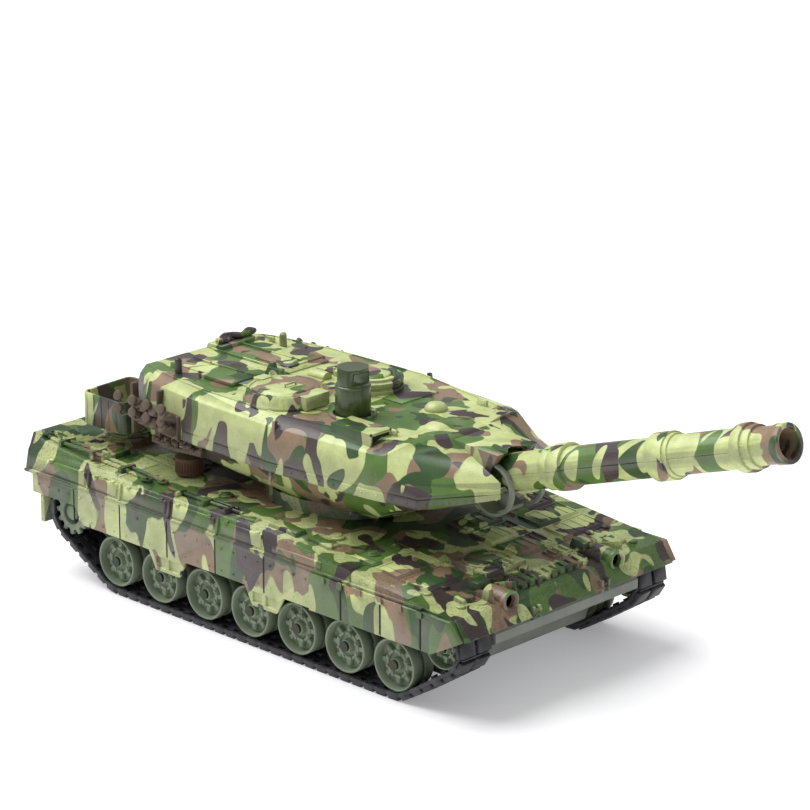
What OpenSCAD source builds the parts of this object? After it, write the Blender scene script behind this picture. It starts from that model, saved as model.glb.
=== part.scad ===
// Radio controlled battle tank: a plastic driving model of about 1:30.
// +X points along the gun, +Y to the tank's left, +Z up, and Z = 0 is the ground under the tracks.
// The hull is drawn from the middle road wheel, and in_frame() moves it to the model's own centre.

/* [Running gear] */
// Diameter of a road wheel
wheel_d = 21.8; // [18:0.1:24]
// Distance between neighbouring road wheels
wheel_pitch = 27; // [24.5:0.5:31]
// Width of a road wheel
wheel_w = 11; // [9:0.5:13]
// Diameter of the steel wheel pins
pin_d = 2.4; // [2:0.1:3]
// Width of a track belt
track_w = 17; // [15:0.5:20]
// Thickness of a track belt with its pads
track_t = 3.2; // [2.6:0.1:3.8]
// Outer diameter of the front idler wheel
idler_d = 17.2; // [14.4:0.1:18.6]
// Number of teeth on a drive sprocket
sprocket_teeth = 12; // [10:1:14]
// Tip diameter of a drive sprocket
sprocket_d = 19; // [15.8:0.1:20.4]

/* [Hull] */
// Width of the lower hull between the tracks
tub_w = 83; // [80:1:110]
// Wall thickness of the hull shells
hull_wall = 1.8; // [1.4:0.1:2.2]
// Height of the belly above the ground
belly_z = 8; // [7:0.5:9]
// Height of the side skirts' lower edge
skirt_bottom_z = 27; // [25:0.5:30]
// Thickness of the side skirts
skirt_t = 1.7; // [1.2:0.1:2.2]
// Extra thickness of the heavy front skirt panels
heavy_t = 1.4; // [0.8:0.1:2]
// Height of the deck round the turret ring
deck_z = 52; // [50.5:0.5:54]

/* [Turret] */
// Diameter of the turret's turning spigot
spigot_d = 56; // [50:1:60]
// Height of the turret floor above the deck
turret_lift = 6; // [5:0.5:8]
// Height of the turret from its floor to its roof
turret_h = 34.4; // [30:0.1:38]
// Width of the turret across the armour cheeks
turret_w = 96; // [90:1:104]
// Wall thickness of the turret shells
turret_wall = 1.7; // [1.4:0.1:2]
// Diameter of the commander's sight
sight_d = 14.4; // [12:0.2:16]

/* [Gun] */
// Elevation of the gun at rest, in degrees
gun_el = 18; // [0:1:22]
// Length of the gun from its trunnion to its muzzle
gun_l = 145.8; // [110:0.2:170]
// Diameter of the gun barrel
barrel_d = 15.4; // [13:0.2:16]
// Diameter of the muzzle bore
bore_d = 11.6; // [9:0.2:12]

/* [Hidden] */
$fn = 48;
run_gap = 0.06;       // running fit between a shaft and its hole, on the radius
part_gap = 0.3;       // gap between pieces that move past each other
wheel_rows = 7;

// heights and places of the running gear
wheel_z = track_t + part_gap + wheel_d / 2;
last_wheel_x = -3 * wheel_pitch;
first_wheel_x = 3 * wheel_pitch;
sprocket_x = last_wheel_x - 28.6;
sprocket_z = 28.7;
idler_x = first_wheel_x + 25.5;
idler_z = 28.5;

// widths, all counted out from the middle plane
tub_y = tub_w / 2;
track_in_y = tub_y + 1.5;
track_out_y = track_in_y + track_w;
wheel_out_y = track_out_y - 1.1;
wheel_in_y = wheel_out_y - wheel_w;
skirt_in_y = track_out_y + 0.5;
skirt_y = skirt_in_y + skirt_t;
heavy_y = skirt_y + heavy_t;

// hull lengths and heights
rear_x = last_wheel_x - 54;
front_x = first_wheel_x + 40;
sponson_z = sprocket_z + sprocket_d / 2 + part_gap + track_t + 0.8;
tub_rear_x = rear_x + 11;
deck_wall = hull_wall + 0.2;
heavy_x = first_wheel_x - 42;
skirt_rear_x = rear_x + 5;

// turret
turret_x = 0;
floor_z = deck_z + turret_lift;
seam_z = floor_z + turret_h / 2;
roof_z = floor_z + turret_h;
turret_y = turret_w / 2;
ring_hole_r = spigot_d / 2 + run_gap;
collar_r = spigot_d / 2 + 8;
ring_gear_m = 1;
ring_gear_teeth = ceil(spigot_d / ring_gear_m) + 4;
ring_pinion_teeth = 10;
mesh_gap = 0.2;
ring_pinion_x = turret_x - ring_gear_m * (ring_gear_teeth + ring_pinion_teeth) / 2 - mesh_gap;
ring_gear_h = 3.4;
deck_under_z = deck_z - deck_wall;
ring_gear_drop = 1.5;  // room for the deck's slope at the front of the gear
ring_gear_z = deck_under_z - part_gap - ring_gear_h - ring_gear_drop;
nose_y = 11.6;

// gun
trunnion_x = 86;
trunnion_z = seam_z - 0.2;
gun_rise = 4.3;
barrel_r = barrel_d / 2;
drum_r = 11;
drum_w = 20;
trunnion_d = 3;
cap_l = 21.5;
cap_s = gun_l - cap_l;
band_r = barrel_r + 1.65;
muzzle_low = gun_rise - barrel_r;
muzzle_x = trunnion_x + gun_l * cos(gun_el) - muzzle_low * sin(gun_el);

// the model's own origin stands under the middle of its overall length
mid_x = (rear_x + muzzle_x) / 2;

// gear train of each track: motor pinion, reduction gear and final gear
drive_m = 0.8;
final_teeth = 30;
small_teeth = 10;
large_teeth = 28;
motor_teeth = 9;
shaft_d = 3;
gear_in_y = 29;
gear_face = 4;
reduction_a = -10;
reduction_l = drive_m * (final_teeth + small_teeth) / 2 + mesh_gap;
motor_l = drive_m * (large_teeth + motor_teeth) / 2 + mesh_gap;
reduction_x = sprocket_x + reduction_l * cos(reduction_a);
reduction_z = sprocket_z + reduction_l * sin(reduction_a);
motor_x = reduction_x + motor_l;
motor_d = 20;
motor_y0 = 2;
frame_y = gear_in_y - 2.2;
frame_t = 1.6;

// deck fittings
knob_x = last_wheel_x + 20.4;
knob_y = -34.9;
knob_d = 12.3;
knob_h = 7;
lamp_x = front_x - 10;
lamp_y = 31;
lamp_z = deck_z - 9.4;
led_d = 5;
lamp_tube_d = led_d + 3.4;
battery_x0 = -22;
battery_l = 56;
battery_w = 40;
battery_h = 16;
door_margin = 3;
speaker_x = first_wheel_x - 12;
speaker_d = 26;
fan_r = 12.3;

// ---------- helpers ----------

// moves hull coordinates to the model's own origin
module in_frame() {
  translate([-mid_x, 0, 0]) children();
}

// makes the right hand piece from the left hand one
module sided(side) {
  if (side < 0) mirror([0, 1, 0]) children();
  else children();
}

// draws an X-Z outline as a plate from y0 outwards
module plate_y(y0, t) {
  translate([0, y0 + t, 0]) rotate([90, 0, 0]) linear_extrude(t) children();
}

// a rod along Y
module rod_y(d, y0, y1) {
  translate([0, y0, 0]) rotate([-90, 0, 0]) cylinder(d = d, h = y1 - y0);
}

// a turned piece with its axis along Y, drawn as radius and distance out from y0
module turned_y(y0) {
  translate([0, y0, 0]) rotate([-90, 0, 0]) rotate_extrude($fn = 96) children();
}

// tilts the gun about its trunnion
module gun_frame() {
  translate([trunnion_x, 0, trunnion_z]) rotate([0, -gun_el, 0]) children();
}

// a rod along the barrel's own axis, from s0 to s1
module along_gun(s0, s1, d) {
  translate([s0, 0, gun_rise]) rotate([0, 90, 0]) cylinder(d = d, h = s1 - s0, $fn = 96);
}

// outward unit normal of the edge from a to b of an anticlockwise outline
function edge_normal(a, b) = let (v = (b - a) / norm(b - a)) [v[1], -v[0]];

// outline moved inwards by t
function inset(pts, t) = let (n = len(pts)) [
  for (i = [0:n - 1])
    let (
      n1 = edge_normal(pts[(i + n - 1) % n], pts[i]),
      n2 = edge_normal(pts[i], pts[(i + 1) % n])
    )
    pts[i] - t * (n1 + n2) / (1 + n1 * n2)
];

// half outline on the left side, front to rear, made whole and anticlockwise
function both_sides(half) = concat(
  half,
  [for (i = [len(half) - 1:-1:0]) [half[i][0], -half[i][1]]]
);

// closed solid through rings of equal count, each [z, outline]
module loft(rings) {
  n = len(rings[0][1]);
  m = len(rings);
  pts = [for (r = rings) for (p = r[1]) [p[0], p[1], r[0]]];
  sides = [
    for (k = [0:m - 2]) for (i = [0:n - 1])
      let (a = k * n + i, b = k * n + (i + 1) % n)
      each [[a, a + n, b], [b, a + n, b + n]]
  ];
  bottom = [[for (i = [0:n - 1]) i]];
  top = [[for (i = [n - 1:-1:0]) (m - 1) * n + i]];
  polyhedron(points = pts, faces = concat(sides, bottom, top), convexity = 8);
}

// gear outline with straight flanked teeth, one tooth centred at the angle turn
module gear_2d(teeth, m, turn = 0) {
  step = 360 / teeth;
  root = m * (teeth / 2 - 1.2);
  tip = m * (teeth / 2 + 0.85);
  polygon([
    for (i = [0:teeth - 1]) each [
      for (e = [[root, -0.27], [tip, -0.1], [tip, 0.1], [root, 0.27]])
        e[0] * [cos(turn + (i + e[1]) * step), sin(turn + (i + e[1]) * step)]
    ]
  ]);
}

// gear with its axis along Y, face from y0 outwards
module gear_y(teeth, m, y0, h, turn = 0) {
  plate_y(y0, h) gear_2d(teeth, m, turn);
}

// ---------- track loop ----------

// circles that carry the belt, in anticlockwise order seen with +X to the right: [x, z, radius]
function belt_circles(grow) = [
  [last_wheel_x, wheel_z, wheel_d / 2 + part_gap + grow],
  [first_wheel_x, wheel_z, wheel_d / 2 + part_gap + grow],
  [idler_x, idler_z, idler_d / 2 + part_gap + grow],
  [sprocket_x, sprocket_z, sprocket_d / 2 + part_gap + grow]
];

// direction of the outer tangent's normal from circle a to circle b
function tangent_normal(a, b) =
  let (dx = b[0] - a[0], dz = b[1] - a[1], d = sqrt(dx * dx + dz * dz))
  atan2(dz, dx) - 90 + asin((a[2] - b[2]) / d);

function unwrap(a, b) = b < a ? b + 360 : b;

// arc points of circle i of the loop
function belt_arc(c, i, n) =
  let (
    a0 = tangent_normal(c[(i + 3) % 4], c[i]),
    a1 = unwrap(a0, tangent_normal(c[i], c[(i + 1) % 4]))
  )
  [for (k = [0:n]) let (a = a0 + (a1 - a0) * k / n) [c[i][0] + c[i][2] * cos(a), c[i][1] + c[i][2] * sin(a)]];

function belt_outline(grow) =
  let (c = belt_circles(grow))
  concat(belt_arc(c, 0, 5), belt_arc(c, 1, 5), belt_arc(c, 2, 16), belt_arc(c, 3, 16));

module track(side) {
  color("#2b2a2e") in_frame() sided(side) difference() {
    plate_y(track_in_y, track_w) polygon(belt_outline(track_t));
    plate_y(track_in_y - 1, track_w + 2) polygon(belt_outline(0));
  }
}

// ---------- lower hull ----------

tub_outline = [
  [tub_rear_x, sponson_z], [tub_rear_x, belly_z + 10], [tub_rear_x + 8, belly_z],
  [front_x - 30, belly_z], [front_x - 24, belly_z + 17.4], [front_x - 8, belly_z + 17.6],
  [front_x - 2.6, belly_z + 20.6], [front_x - 2.6, belly_z + 24.4],
  [front_x - 9.6, sponson_z]
];

// places something at every road wheel axle
module at_wheels() {
  for (i = [1:wheel_rows]) translate([wheel_x(i), 0, wheel_z]) children();
}

function wheel_x(i) = (4 - i) * wheel_pitch;

module belly_opening() {
  translate([battery_x0 - door_margin, -battery_w / 2 - door_margin, belly_z - 1])
    cube([battery_l + 2 * door_margin, battery_w + 2 * door_margin, hull_wall + 2]);
}

module hull_tub() {
  color("#7c8469") in_frame() difference() {
    union() {
      difference() {
        plate_y(-tub_y, tub_w) polygon(tub_outline);
        plate_y(-tub_y + hull_wall, tub_w - 2 * hull_wall) polygon(inset(tub_outline, hull_wall));
        translate([tub_rear_x + hull_wall, -tub_y + hull_wall, sponson_z - hull_wall - 1])
          cube([front_x - 9.6 - tub_rear_x - 2 * hull_wall, tub_w - 2 * hull_wall, hull_wall + 2]);
        belly_opening();
      }
      // bosses that hold the wheel and idler pins
      for (side = [-1, 1]) sided(side) {
        at_wheels() rod_y(pin_d + 3, tub_y - 7, tub_y + 0.6);
        translate([idler_x, 0, idler_z]) rod_y(pin_d + 3, tub_y - 7, tub_y + 0.6);
        translate([sprocket_x, 0, sprocket_z]) rod_y(shaft_d + 4, tub_y - hull_wall, tub_y + 0.8);
      }
      // rim that carries the battery door
      translate([battery_x0 - door_margin - 1.6, -battery_w / 2 - door_margin - 1.6, belly_z + hull_wall - 0.01])
        difference() {
          cube([battery_l + 2 * door_margin + 3.2, battery_w + 2 * door_margin + 3.2, 3]);
          translate([1.6 + 0.01, 1.6 + 0.01, -1])
            cube([battery_l + 2 * door_margin - 0.02, battery_w + 2 * door_margin - 0.02, 6]);
        }
      // foot pads under the gearbox frames
      for (x = [sprocket_x + 2, motor_x + 6])
        translate([x - 3, -frame_y - 4, belly_z + hull_wall - 0.01]) cube([6, 2 * frame_y + 8, 3]);
    }
    for (side = [-1, 1]) sided(side) {
      at_wheels() rod_y(pin_d, tub_y - 8, tub_y + 2);
      translate([idler_x, 0, idler_z]) rod_y(pin_d, tub_y - 8, tub_y + 2);
      translate([sprocket_x, 0, sprocket_z]) {
        rod_y(shaft_d + 2 * run_gap, tub_y - 4, tub_y + 2);
        rod_y(drive_m * (final_teeth + 2) + 2 * part_gap, gear_in_y - 0.5, gear_in_y + gear_face + 0.5);
      }
      // room for the lamp housing of the upper hull
      translate([lamp_x - 6 - part_gap, lamp_y, lamp_z]) rotate([0, 90, 0])
        cylinder(d = lamp_tube_d + 2 * part_gap, h = 30);
    }
    // slots under the speaker
    for (y = [-8:4:8]) translate([speaker_x - 8, y - 0.8, belly_z - 1]) cube([16, 1.6, hull_wall + 2]);
  }
}

// ---------- upper hull ----------

// crown of the deck from the rear to the fold of the nose plate
deck_crown = [
  [rear_x, deck_z + 6.5], [rear_x + 11, deck_z + 4.3], [rear_x + 42, deck_z + 2],
  [rear_x + 77, deck_z], [front_x - 106, deck_z], [front_x - 82, deck_z - 2.1],
  [front_x - 43, deck_z - 5.7], [front_x - 6.2, deck_z - 9.6]
];

function reversed(v) = [for (i = [len(v) - 1:-1:0]) v[i]];

// side view of the upper hull with its thin nose plate
module deck_outline() {
  polygon(concat(
    [[rear_x, sponson_z], [front_x - 8.6, sponson_z], [front_x - 2.1, deck_z - 17.6], [front_x, deck_z - 17]],
    reversed(deck_crown)
  ));
}

// side view of the space under the crown, from height z0 up
module deck_hollow(z0) {
  x0 = rear_x + deck_wall;
  x1 = front_x - 20;
  mid = [for (p = deck_crown) if (p[0] > x0 && p[0] < x1) [p[0], p[1] - deck_wall]];
  intersection() {
    polygon(concat(
      [[x0, 0], [x1, 0], [x1, crown_z(x1) - deck_wall]], reversed(mid), [[x0, crown_z(x0) - deck_wall]]
    ));
    translate([x0 - 5, z0]) square([x1 - x0 + 10, 60]);
  }
}

// cross-section of the sponsons, leaning inwards above the skirts
module deck_section(t = 0) {
  top = deck_z + 10;
  rotate([90, 0, 90]) linear_extrude(front_x - rear_x + 2) polygon([
    [-skirt_y + 0.6 + t, sponson_z - 20], [skirt_y - 0.6 - t, sponson_z - 20],
    [skirt_y - 0.6 - t, sponson_z + 1], [skirt_y - 2.2 - t, deck_z - 0.6],
    [skirt_y - 3.4 - t, deck_z + 1.6], [skirt_y - 7 - t, top], [-skirt_y + 7 + t, top],
    [-skirt_y + 3.4 + t, deck_z + 1.6], [-skirt_y + 2.2 + t, deck_z - 0.6],
    [-skirt_y + 0.6 + t, sponson_z + 1]
  ]);
}

module hull_deck() {
  ledge_l = front_x - 22 - rear_x;
  color("#a9b67a") in_frame() difference() {
    union() {
      difference() {
        intersection() {
          plate_y(-skirt_y, 2 * skirt_y) deck_outline();
          translate([rear_x - 1, 0, 0]) deck_section();
        }
        intersection() {
          plate_y(-skirt_y, 2 * skirt_y) deck_hollow(sponson_z + deck_wall);
          translate([rear_x - 1, 0, 0]) deck_section(deck_wall);
        }
        // the shell is open below, between the walls of the tub
        intersection() {
          plate_y(-tub_y + hull_wall, tub_w - 2 * hull_wall) deck_hollow(sponson_z - 1);
          translate([tub_rear_x + hull_wall, -tub_y, 0]) cube([front_x, tub_w, 100]);
        }
      }
      // ledge above the skirts
      for (side = [-1, 1]) sided(side)
        translate([rear_x, skirt_y - 3, sponson_z]) cube([ledge_l, 3.4, 1.2]);
      // collar that the turret turns on
      translate([turret_x, 0, deck_z - 1]) cylinder(r = collar_r, h = floor_z - part_gap - deck_z + 1, $fn = 120);
      // mud flaps behind the sprockets
      for (side = [-1, 1]) sided(side)
        translate([rear_x + 7.4, track_in_y + 1, belly_z + 13])
          cube([2.2, skirt_y - track_in_y - 1, sponson_z - belly_z - 12.9]);
      // lamp housings on the nose plate
      for (side = [-1, 1])
        translate([lamp_x - 6, side * lamp_y, lamp_z]) rotate([0, 90, 0]) cylinder(d = lamp_tube_d, h = 11.5);
      // raised lids of the engine deck and the driver's hatch
      deck_lids();
      // bosses for the screws that join deck and tub
      for (p = screw_places) translate([p[0], p[1], sponson_z]) cylinder(d = 6, h = crown_z(p[0]) - 1 - sponson_z);
    }
    translate([turret_x, 0, ring_gear_z]) cylinder(r = ring_hole_r, h = 30, $fn = 120);
    // seats for the lamps
    for (side = [-1, 1])
      translate([lamp_x - 7, side * lamp_y, lamp_z]) rotate([0, 90, 0]) cylinder(d = led_d + 2 * run_gap, h = 30);
    // hole for the knob's stem
    translate([knob_x, knob_y, 0]) cylinder(d = 4 + 2 * run_gap, h = 100);
    // pilot holes for the screws
    for (p = screw_places) translate([p[0], p[1], 0]) cylinder(d = 2.2, h = crown_z(p[0]) - 3);
    deck_grooves();
    // room for the skirts
    for (side = [-1, 1]) sided(side)
      translate([rear_x - 1, skirt_in_y - part_gap, 0]) cube([front_x - rear_x + 2, skirt_t + 2, sponson_z]);
  }
}

screw_places = [
  [tub_rear_x + 6, tub_y - 5], [tub_rear_x + 6, -tub_y + 5],
  [front_x - 50, tub_y - 6.5], [front_x - 50, -tub_y + 6.5]
];

// raised hatches, grilles and boxes of the deck
module deck_lids() {
  // two round fan grilles and the engine covers on the rear deck
  for (side = [-1, 1]) {
    translate([rear_x + 24, side * 22, deck_z]) cylinder(r = fan_r, h = 4.6);
    translate([rear_x + 6, side * 47 - 8, deck_z]) cube([36, 16, 4.2]);
  }
  // driver's hatch in front of the turret, right of the middle
  translate([front_x - 44, -25, deck_z - 8]) cube([22, 22, 3.8]);
}

// panel lines cut in the deck
module deck_grooves() {
  w = 0.5;
  for (x = [rear_x + 44, rear_x + 58, front_x - 62, front_x - 30])
    translate([x, -skirt_y, deck_z + 1.4 + crown_drop(x)]) cube([w, 2 * skirt_y, 6]);
}

// how far the crown lies from the deck's own height, less the groove's depth
function crown_drop(x) = crown_z(x) - deck_z - 1.9;
function crown_z(x) = lookup(x, deck_crown);

// ---------- skirts ----------

light_seams = [for (k = [-2.756, -1.681, -0.611, 0.444]) k * wheel_pitch];
heavy_seams = [for (d = [17.8, 39.3, 60.8]) heavy_x + d];
skirt_nose_x = front_x - 1.4;

module skirt_plain(grow = 0) {
  short_x = sprocket_x + 6.3;
  polygon([
    [skirt_rear_x, sponson_z], [skirt_rear_x, skirt_bottom_z + 7.3], [short_x, skirt_bottom_z + 7.3],
    [short_x + 5.3, skirt_bottom_z], [heavy_x + 0.02, skirt_bottom_z], [heavy_x + 0.02, sponson_z]
  ]);
}

module skirt_heavy() {
  polygon([
    [heavy_x, sponson_z], [heavy_x, skirt_bottom_z], [front_x - 15.9, skirt_bottom_z],
    [skirt_nose_x, skirt_bottom_z + 7.9], [front_x - 6.4, sponson_z]
  ]);
}

module skirt(side) {
  color("#8f9a72") in_frame() sided(side) difference() {
    union() {
      plate_y(skirt_in_y, skirt_t) skirt_plain();
      plate_y(skirt_in_y, skirt_t + heavy_t) skirt_heavy();
      // foot steps that hang below the seams
      for (x = [light_seams[1], light_seams[3]])
        plate_y(skirt_in_y + 0.3, skirt_t - 0.3) polygon([
          [x - 11.5, skirt_bottom_z + 0.5], [x - 7, skirt_bottom_z - 7.6], [x + 7, skirt_bottom_z - 7.6],
          [x + 11.5, skirt_bottom_z + 0.5]
        ]);
    }
    // panel seams
    for (x = concat(light_seams, [sprocket_x + 6.3]))
      translate([x - 0.25, skirt_y - 0.6, skirt_bottom_z - 1]) cube([0.5, 2, sponson_z - skirt_bottom_z - 0.5]);
    for (x = heavy_seams)
      translate([x - 0.25, heavy_y - 0.7, skirt_bottom_z - 1]) cube([0.5, 2, sponson_z - skirt_bottom_z + 2]);
    // pockets in the foot steps
    for (x = [light_seams[1], light_seams[3]]) for (d = [-1, 1])
      translate([x + (d < 0 ? -6.5 : 1), skirt_y - 0.9, skirt_bottom_z - 6]) cube([5.5, 2, 4.6]);
  }
}

// ---------- wheels ----------

// wheel with a deep dish, a ring of lugs and a boss, outer face at y1
module dished_wheel(r, w, y1) {
  y0 = y1 - w;
  difference() {
    union() {
      turned_y(y0) polygon([
        [pin_d / 2 + 0.6, 0], [r * 0.34, 0], [r * 0.34, w * 0.3], [r * 0.84, w * 0.3], [r * 0.84, 0],
        [r, 0], [r, w * 0.4], [r * 0.86, w * 0.4], [r * 0.86, w * 0.56], [r, w * 0.56], [r, w * 0.96],
        [r * 0.98, w], [r * 0.92, w], [r * 0.9, w * 0.93], [r * 0.88, w * 0.62], [r * 0.55, w * 0.62],
        [r * 0.53, w * 0.84], [r * 0.42, w * 0.84], [r * 0.4, w * 0.72], [r * 0.25, w * 0.72],
        [r * 0.24, w * 0.93], [pin_d / 2 + 0.6, w * 0.93]
      ]);
      // lugs round the dish
      for (k = [0:7]) translate([0, y1 - w * 0.4, 0]) rotate([0, k * 45, 0])
        translate([r * 0.5, 0, -r * 0.09]) cube([r * 0.27, w * 0.2, r * 0.18]);
      rod_y(pin_d + 2.4, y0, y1 - w * 0.07);
    }
    rod_y(pin_d + 2 * run_gap, y0 - 1, y1 + 1);
  }
}

module road_wheel(side, i) {
  color("#a3ad8e") in_frame() sided(side) translate([wheel_x(i), 0, wheel_z])
    dished_wheel(wheel_d / 2, wheel_w, wheel_out_y);
}

module idler(side) {
  color("#a3ad8e") in_frame() sided(side) translate([idler_x, 0, idler_z])
    dished_wheel(idler_d / 2, wheel_w, wheel_out_y);
}

// one toothed ring of a sprocket
module tooth_ring(y0, t) {
  step = 360 / sprocket_teeth;
  tip = sprocket_d / 2;
  root = tip - 2.1;
  plate_y(y0, t) polygon([
    for (i = [0:sprocket_teeth - 1]) each [
      for (e = [[root, -0.34], [tip, -0.14], [tip, 0.14], [root, 0.34]])
        e[0] * [cos((i + e[1]) * step), sin((i + e[1]) * step)]
    ]
  ]);
}

module sprocket(side) {
  r = sprocket_d / 2;
  color("#9aa585") in_frame() sided(side) translate([sprocket_x, 0, sprocket_z]) difference() {
    union() {
      tooth_ring(wheel_out_y - 2.2, 1.8);
      tooth_ring(wheel_in_y + 0.4, 1.8);
      rod_y(2 * r - 6.4, wheel_in_y, wheel_out_y - 1);
    }
    // hollow of the outer face with its hub left standing
    difference() {
      rod_y(2 * r - 8.8, wheel_out_y - 5, wheel_out_y + 1);
      rod_y(6.4, wheel_out_y - 6, wheel_out_y - 0.6);
    }
    rod_y(shaft_d, wheel_in_y - 1, wheel_out_y - 2.4);
  }
}

// stepped steel pins that the wheels turn on, with a flat head outside
module wheel_pin() {
  rod_y(pin_d, tub_y - 6, wheel_out_y - wheel_w * 0.07 + part_gap + 0.2);
  rod_y(pin_d + 1.8, wheel_out_y - wheel_w * 0.07 + part_gap, wheel_out_y + 0.4);
}

module wheel_pins() {
  color("#b8b8b4") in_frame() for (side = [-1, 1]) sided(side) at_wheels() wheel_pin();
}

module idler_pins() {
  color("#b8b8b4") in_frame() for (side = [-1, 1]) sided(side) translate([idler_x, 0, idler_z]) wheel_pin();
}

// ---------- drive ----------

module drive_shaft(side) {
  color("#e8e6dc") in_frame() sided(side) translate([sprocket_x, 0, sprocket_z]) {
    rod_y(shaft_d, frame_y - 2, wheel_out_y - 2.4);
    difference() {
      gear_y(final_teeth, drive_m, gear_in_y, gear_face, reduction_a + 180 / final_teeth);
      rod_y(shaft_d - 0.6, gear_in_y - 1, gear_in_y + gear_face + 1);
    }
  }
}

module reduction_gear(side) {
  y1 = gear_in_y + gear_face;
  color("#e8e6dc") in_frame() sided(side) translate([reduction_x, 0, reduction_z]) difference() {
    union() {
      gear_y(small_teeth, drive_m, gear_in_y, gear_face, reduction_a + 180);
      gear_y(large_teeth, drive_m, y1, 2.4, 180 / large_teeth);
    }
    rod_y(2 + 2 * run_gap, gear_in_y - 1, y1 + 4);
  }
}

module motor_pinion(side) {
  y1 = gear_in_y + gear_face;
  color("#c9a94a") in_frame() sided(side) translate([motor_x, 0, reduction_z]) difference() {
    union() {
      gear_y(motor_teeth, drive_m, y1 - 0.6, 3.6, 180);
      rod_y(2, motor_y0 + 24.6, y1);
    }
  }
}

module gear_pins() {
  color("#b8b8b4") in_frame() for (side = [-1, 1]) sided(side)
    translate([reduction_x, 0, reduction_z]) rod_y(2, frame_y, gear_in_y + gear_face + 3.2);
}

// upright plates that carry the shafts and the motors
module gearbox_frames() {
  x0 = sprocket_x - 5;
  base = belly_z + hull_wall + 3;
  color("#d8d3c0") in_frame() for (side = [-1, 1]) sided(side) difference() {
    translate([x0, frame_y, base]) cube([motor_x + 11 - x0, frame_t, sponson_z - 3 - base]);
    translate([sprocket_x, 0, sprocket_z]) rod_y(shaft_d + 2 * run_gap, frame_y - 1, frame_y + frame_t + 1);
    translate([reduction_x, 0, reduction_z]) rod_y(2, frame_y - 1, frame_y + frame_t + 1);
    translate([motor_x, 0, reduction_z]) rod_y(7, frame_y - 1, frame_y + frame_t + 1);
  }
}

module drive_motors() {
  color("#b9bcc0") in_frame() for (side = [-1, 1]) sided(side) translate([motor_x, 0, reduction_z]) difference() {
    union() {
      intersection() {
        rod_y(motor_d, motor_y0, frame_y);
        translate([-motor_d / 2, 0, -7.5]) cube([motor_d, 60, 15]);
      }
      rod_y(6.6, frame_y - 0.5, frame_y + 1.2);
    }
    rod_y(2 + 2 * run_gap, motor_y0 + 20, 60);
  }
}

// ---------- electrics ----------

module battery_pack() {
  cell = battery_h;
  color("#3f6fb5") in_frame() translate([battery_x0, 0, belly_z + hull_wall + 1]) for (k = [-1, 1])
    translate([0, k * (cell / 2 + 0.4) , cell / 2]) rotate([0, 90, 0]) cylinder(d = cell, h = battery_l);
}

module battery_door() {
  clear = 0.25;
  w = battery_w + 2 * door_margin - 2 * clear;
  l = battery_l + 2 * door_margin - 2 * clear;
  color("#7c8469") in_frame() translate([battery_x0 - door_margin + clear, -w / 2, belly_z]) difference() {
    cube([l, w, hull_wall - 0.2]);
    for (x = [6:3:18]) translate([x, 6, -1]) cube([1.2, w - 12, 1.5]);
  }
}

module circuit_board() {
  z = belly_z + hull_wall + 1 + battery_h + 4;
  color("#2f7a4a") in_frame() translate([battery_x0 + 2, 0, z]) {
    translate([0, -24, 0]) cube([battery_l - 4, 48, 1.6]);
    translate([8, -14, 1.6]) cube([10, 8, 2.4]);
    translate([30, 4, 1.6]) cube([14, 8, 2.4]);
    for (y = [-4, 2]) translate([40, y - 10, 1.6]) cylinder(d = 5, h = 5);
  }
}

module speaker() {
  color("#333333") in_frame() translate([speaker_x, 0, belly_z + hull_wall]) {
    difference() {
      cylinder(d = speaker_d, h = 2);
      translate([0, 0, -1]) cylinder(d = speaker_d - 4, h = 2);
    }
    translate([0, 0, 2]) cylinder(d = speaker_d - 9, h = 3.4);
  }
}

module headlights() {
  color("#e8efe6") in_frame() for (side = [-1, 1]) translate([lamp_x - 5, side * lamp_y, lamp_z])
    rotate([0, 90, 0]) {
      cylinder(d = led_d, h = 5);
      translate([0, 0, 5]) intersection() {
        sphere(d = led_d);
        translate([0, 0, -0.01]) cylinder(d = led_d + 1, h = led_d);
      }
    }
}

module turret_motor() {
  h = 18;
  color("#b9bcc0") in_frame() translate([ring_pinion_x, 0, ring_gear_z - 3 - h]) difference() {
    union() {
      cylinder(d = 15, h = h);
      translate([-12, -4, h - 2]) cube([24, 8, 2]);
    }
    translate([0, 0, h - 8]) cylinder(d = 2 + 2 * run_gap, h = 20);
  }
}

module turret_pinion() {
  color("#c9a94a") in_frame() translate([ring_pinion_x, 0, 0]) {
    translate([0, 0, ring_gear_z]) linear_extrude(ring_gear_h)
      gear_2d(ring_pinion_teeth, ring_gear_m, 180 / ring_pinion_teeth);
    translate([0, 0, ring_gear_z - 9]) cylinder(d = 2, h = 9.5);
  }
}

module knob_switch() {
  top = crown_z(knob_x) - deck_wall - 0.4;
  color("#3b3b3b") in_frame() translate([knob_x, knob_y, top - 6]) difference() {
    translate([-7, -4, 0]) cube([14, 9, 6]);
    translate([0, 0, 2]) cylinder(d = 4 + 2 * run_gap, h = 10);
  }
}

module deck_knob() {
  base = crown_z(knob_x) + 0.9;
  ribs = 30;
  color("#6a4a34") in_frame() translate([knob_x, knob_y, base]) {
    difference() {
      cylinder(d = knob_d, h = knob_h);
      for (k = [0:ribs - 1]) rotate([0, 0, k * 360 / ribs])
        translate([knob_d / 2, 0, 1]) cylinder(d = 0.7, h = knob_h - 2.4, $fn = 16);
    }
    translate([0, 0, -5.4]) cylinder(d = 4, h = 6);
  }
}

module hull_screws() {
  color("#8c8c8c") in_frame() for (p = screw_places) translate([p[0], p[1], belly_z + 20]) {
    cylinder(d = 2.2, h = deck_z - 10 - belly_z - 20);
    translate([0, 0, -1.6]) cylinder(d = 4.2, h = 1.6);
  }
}

// ---------- turret ----------

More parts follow.
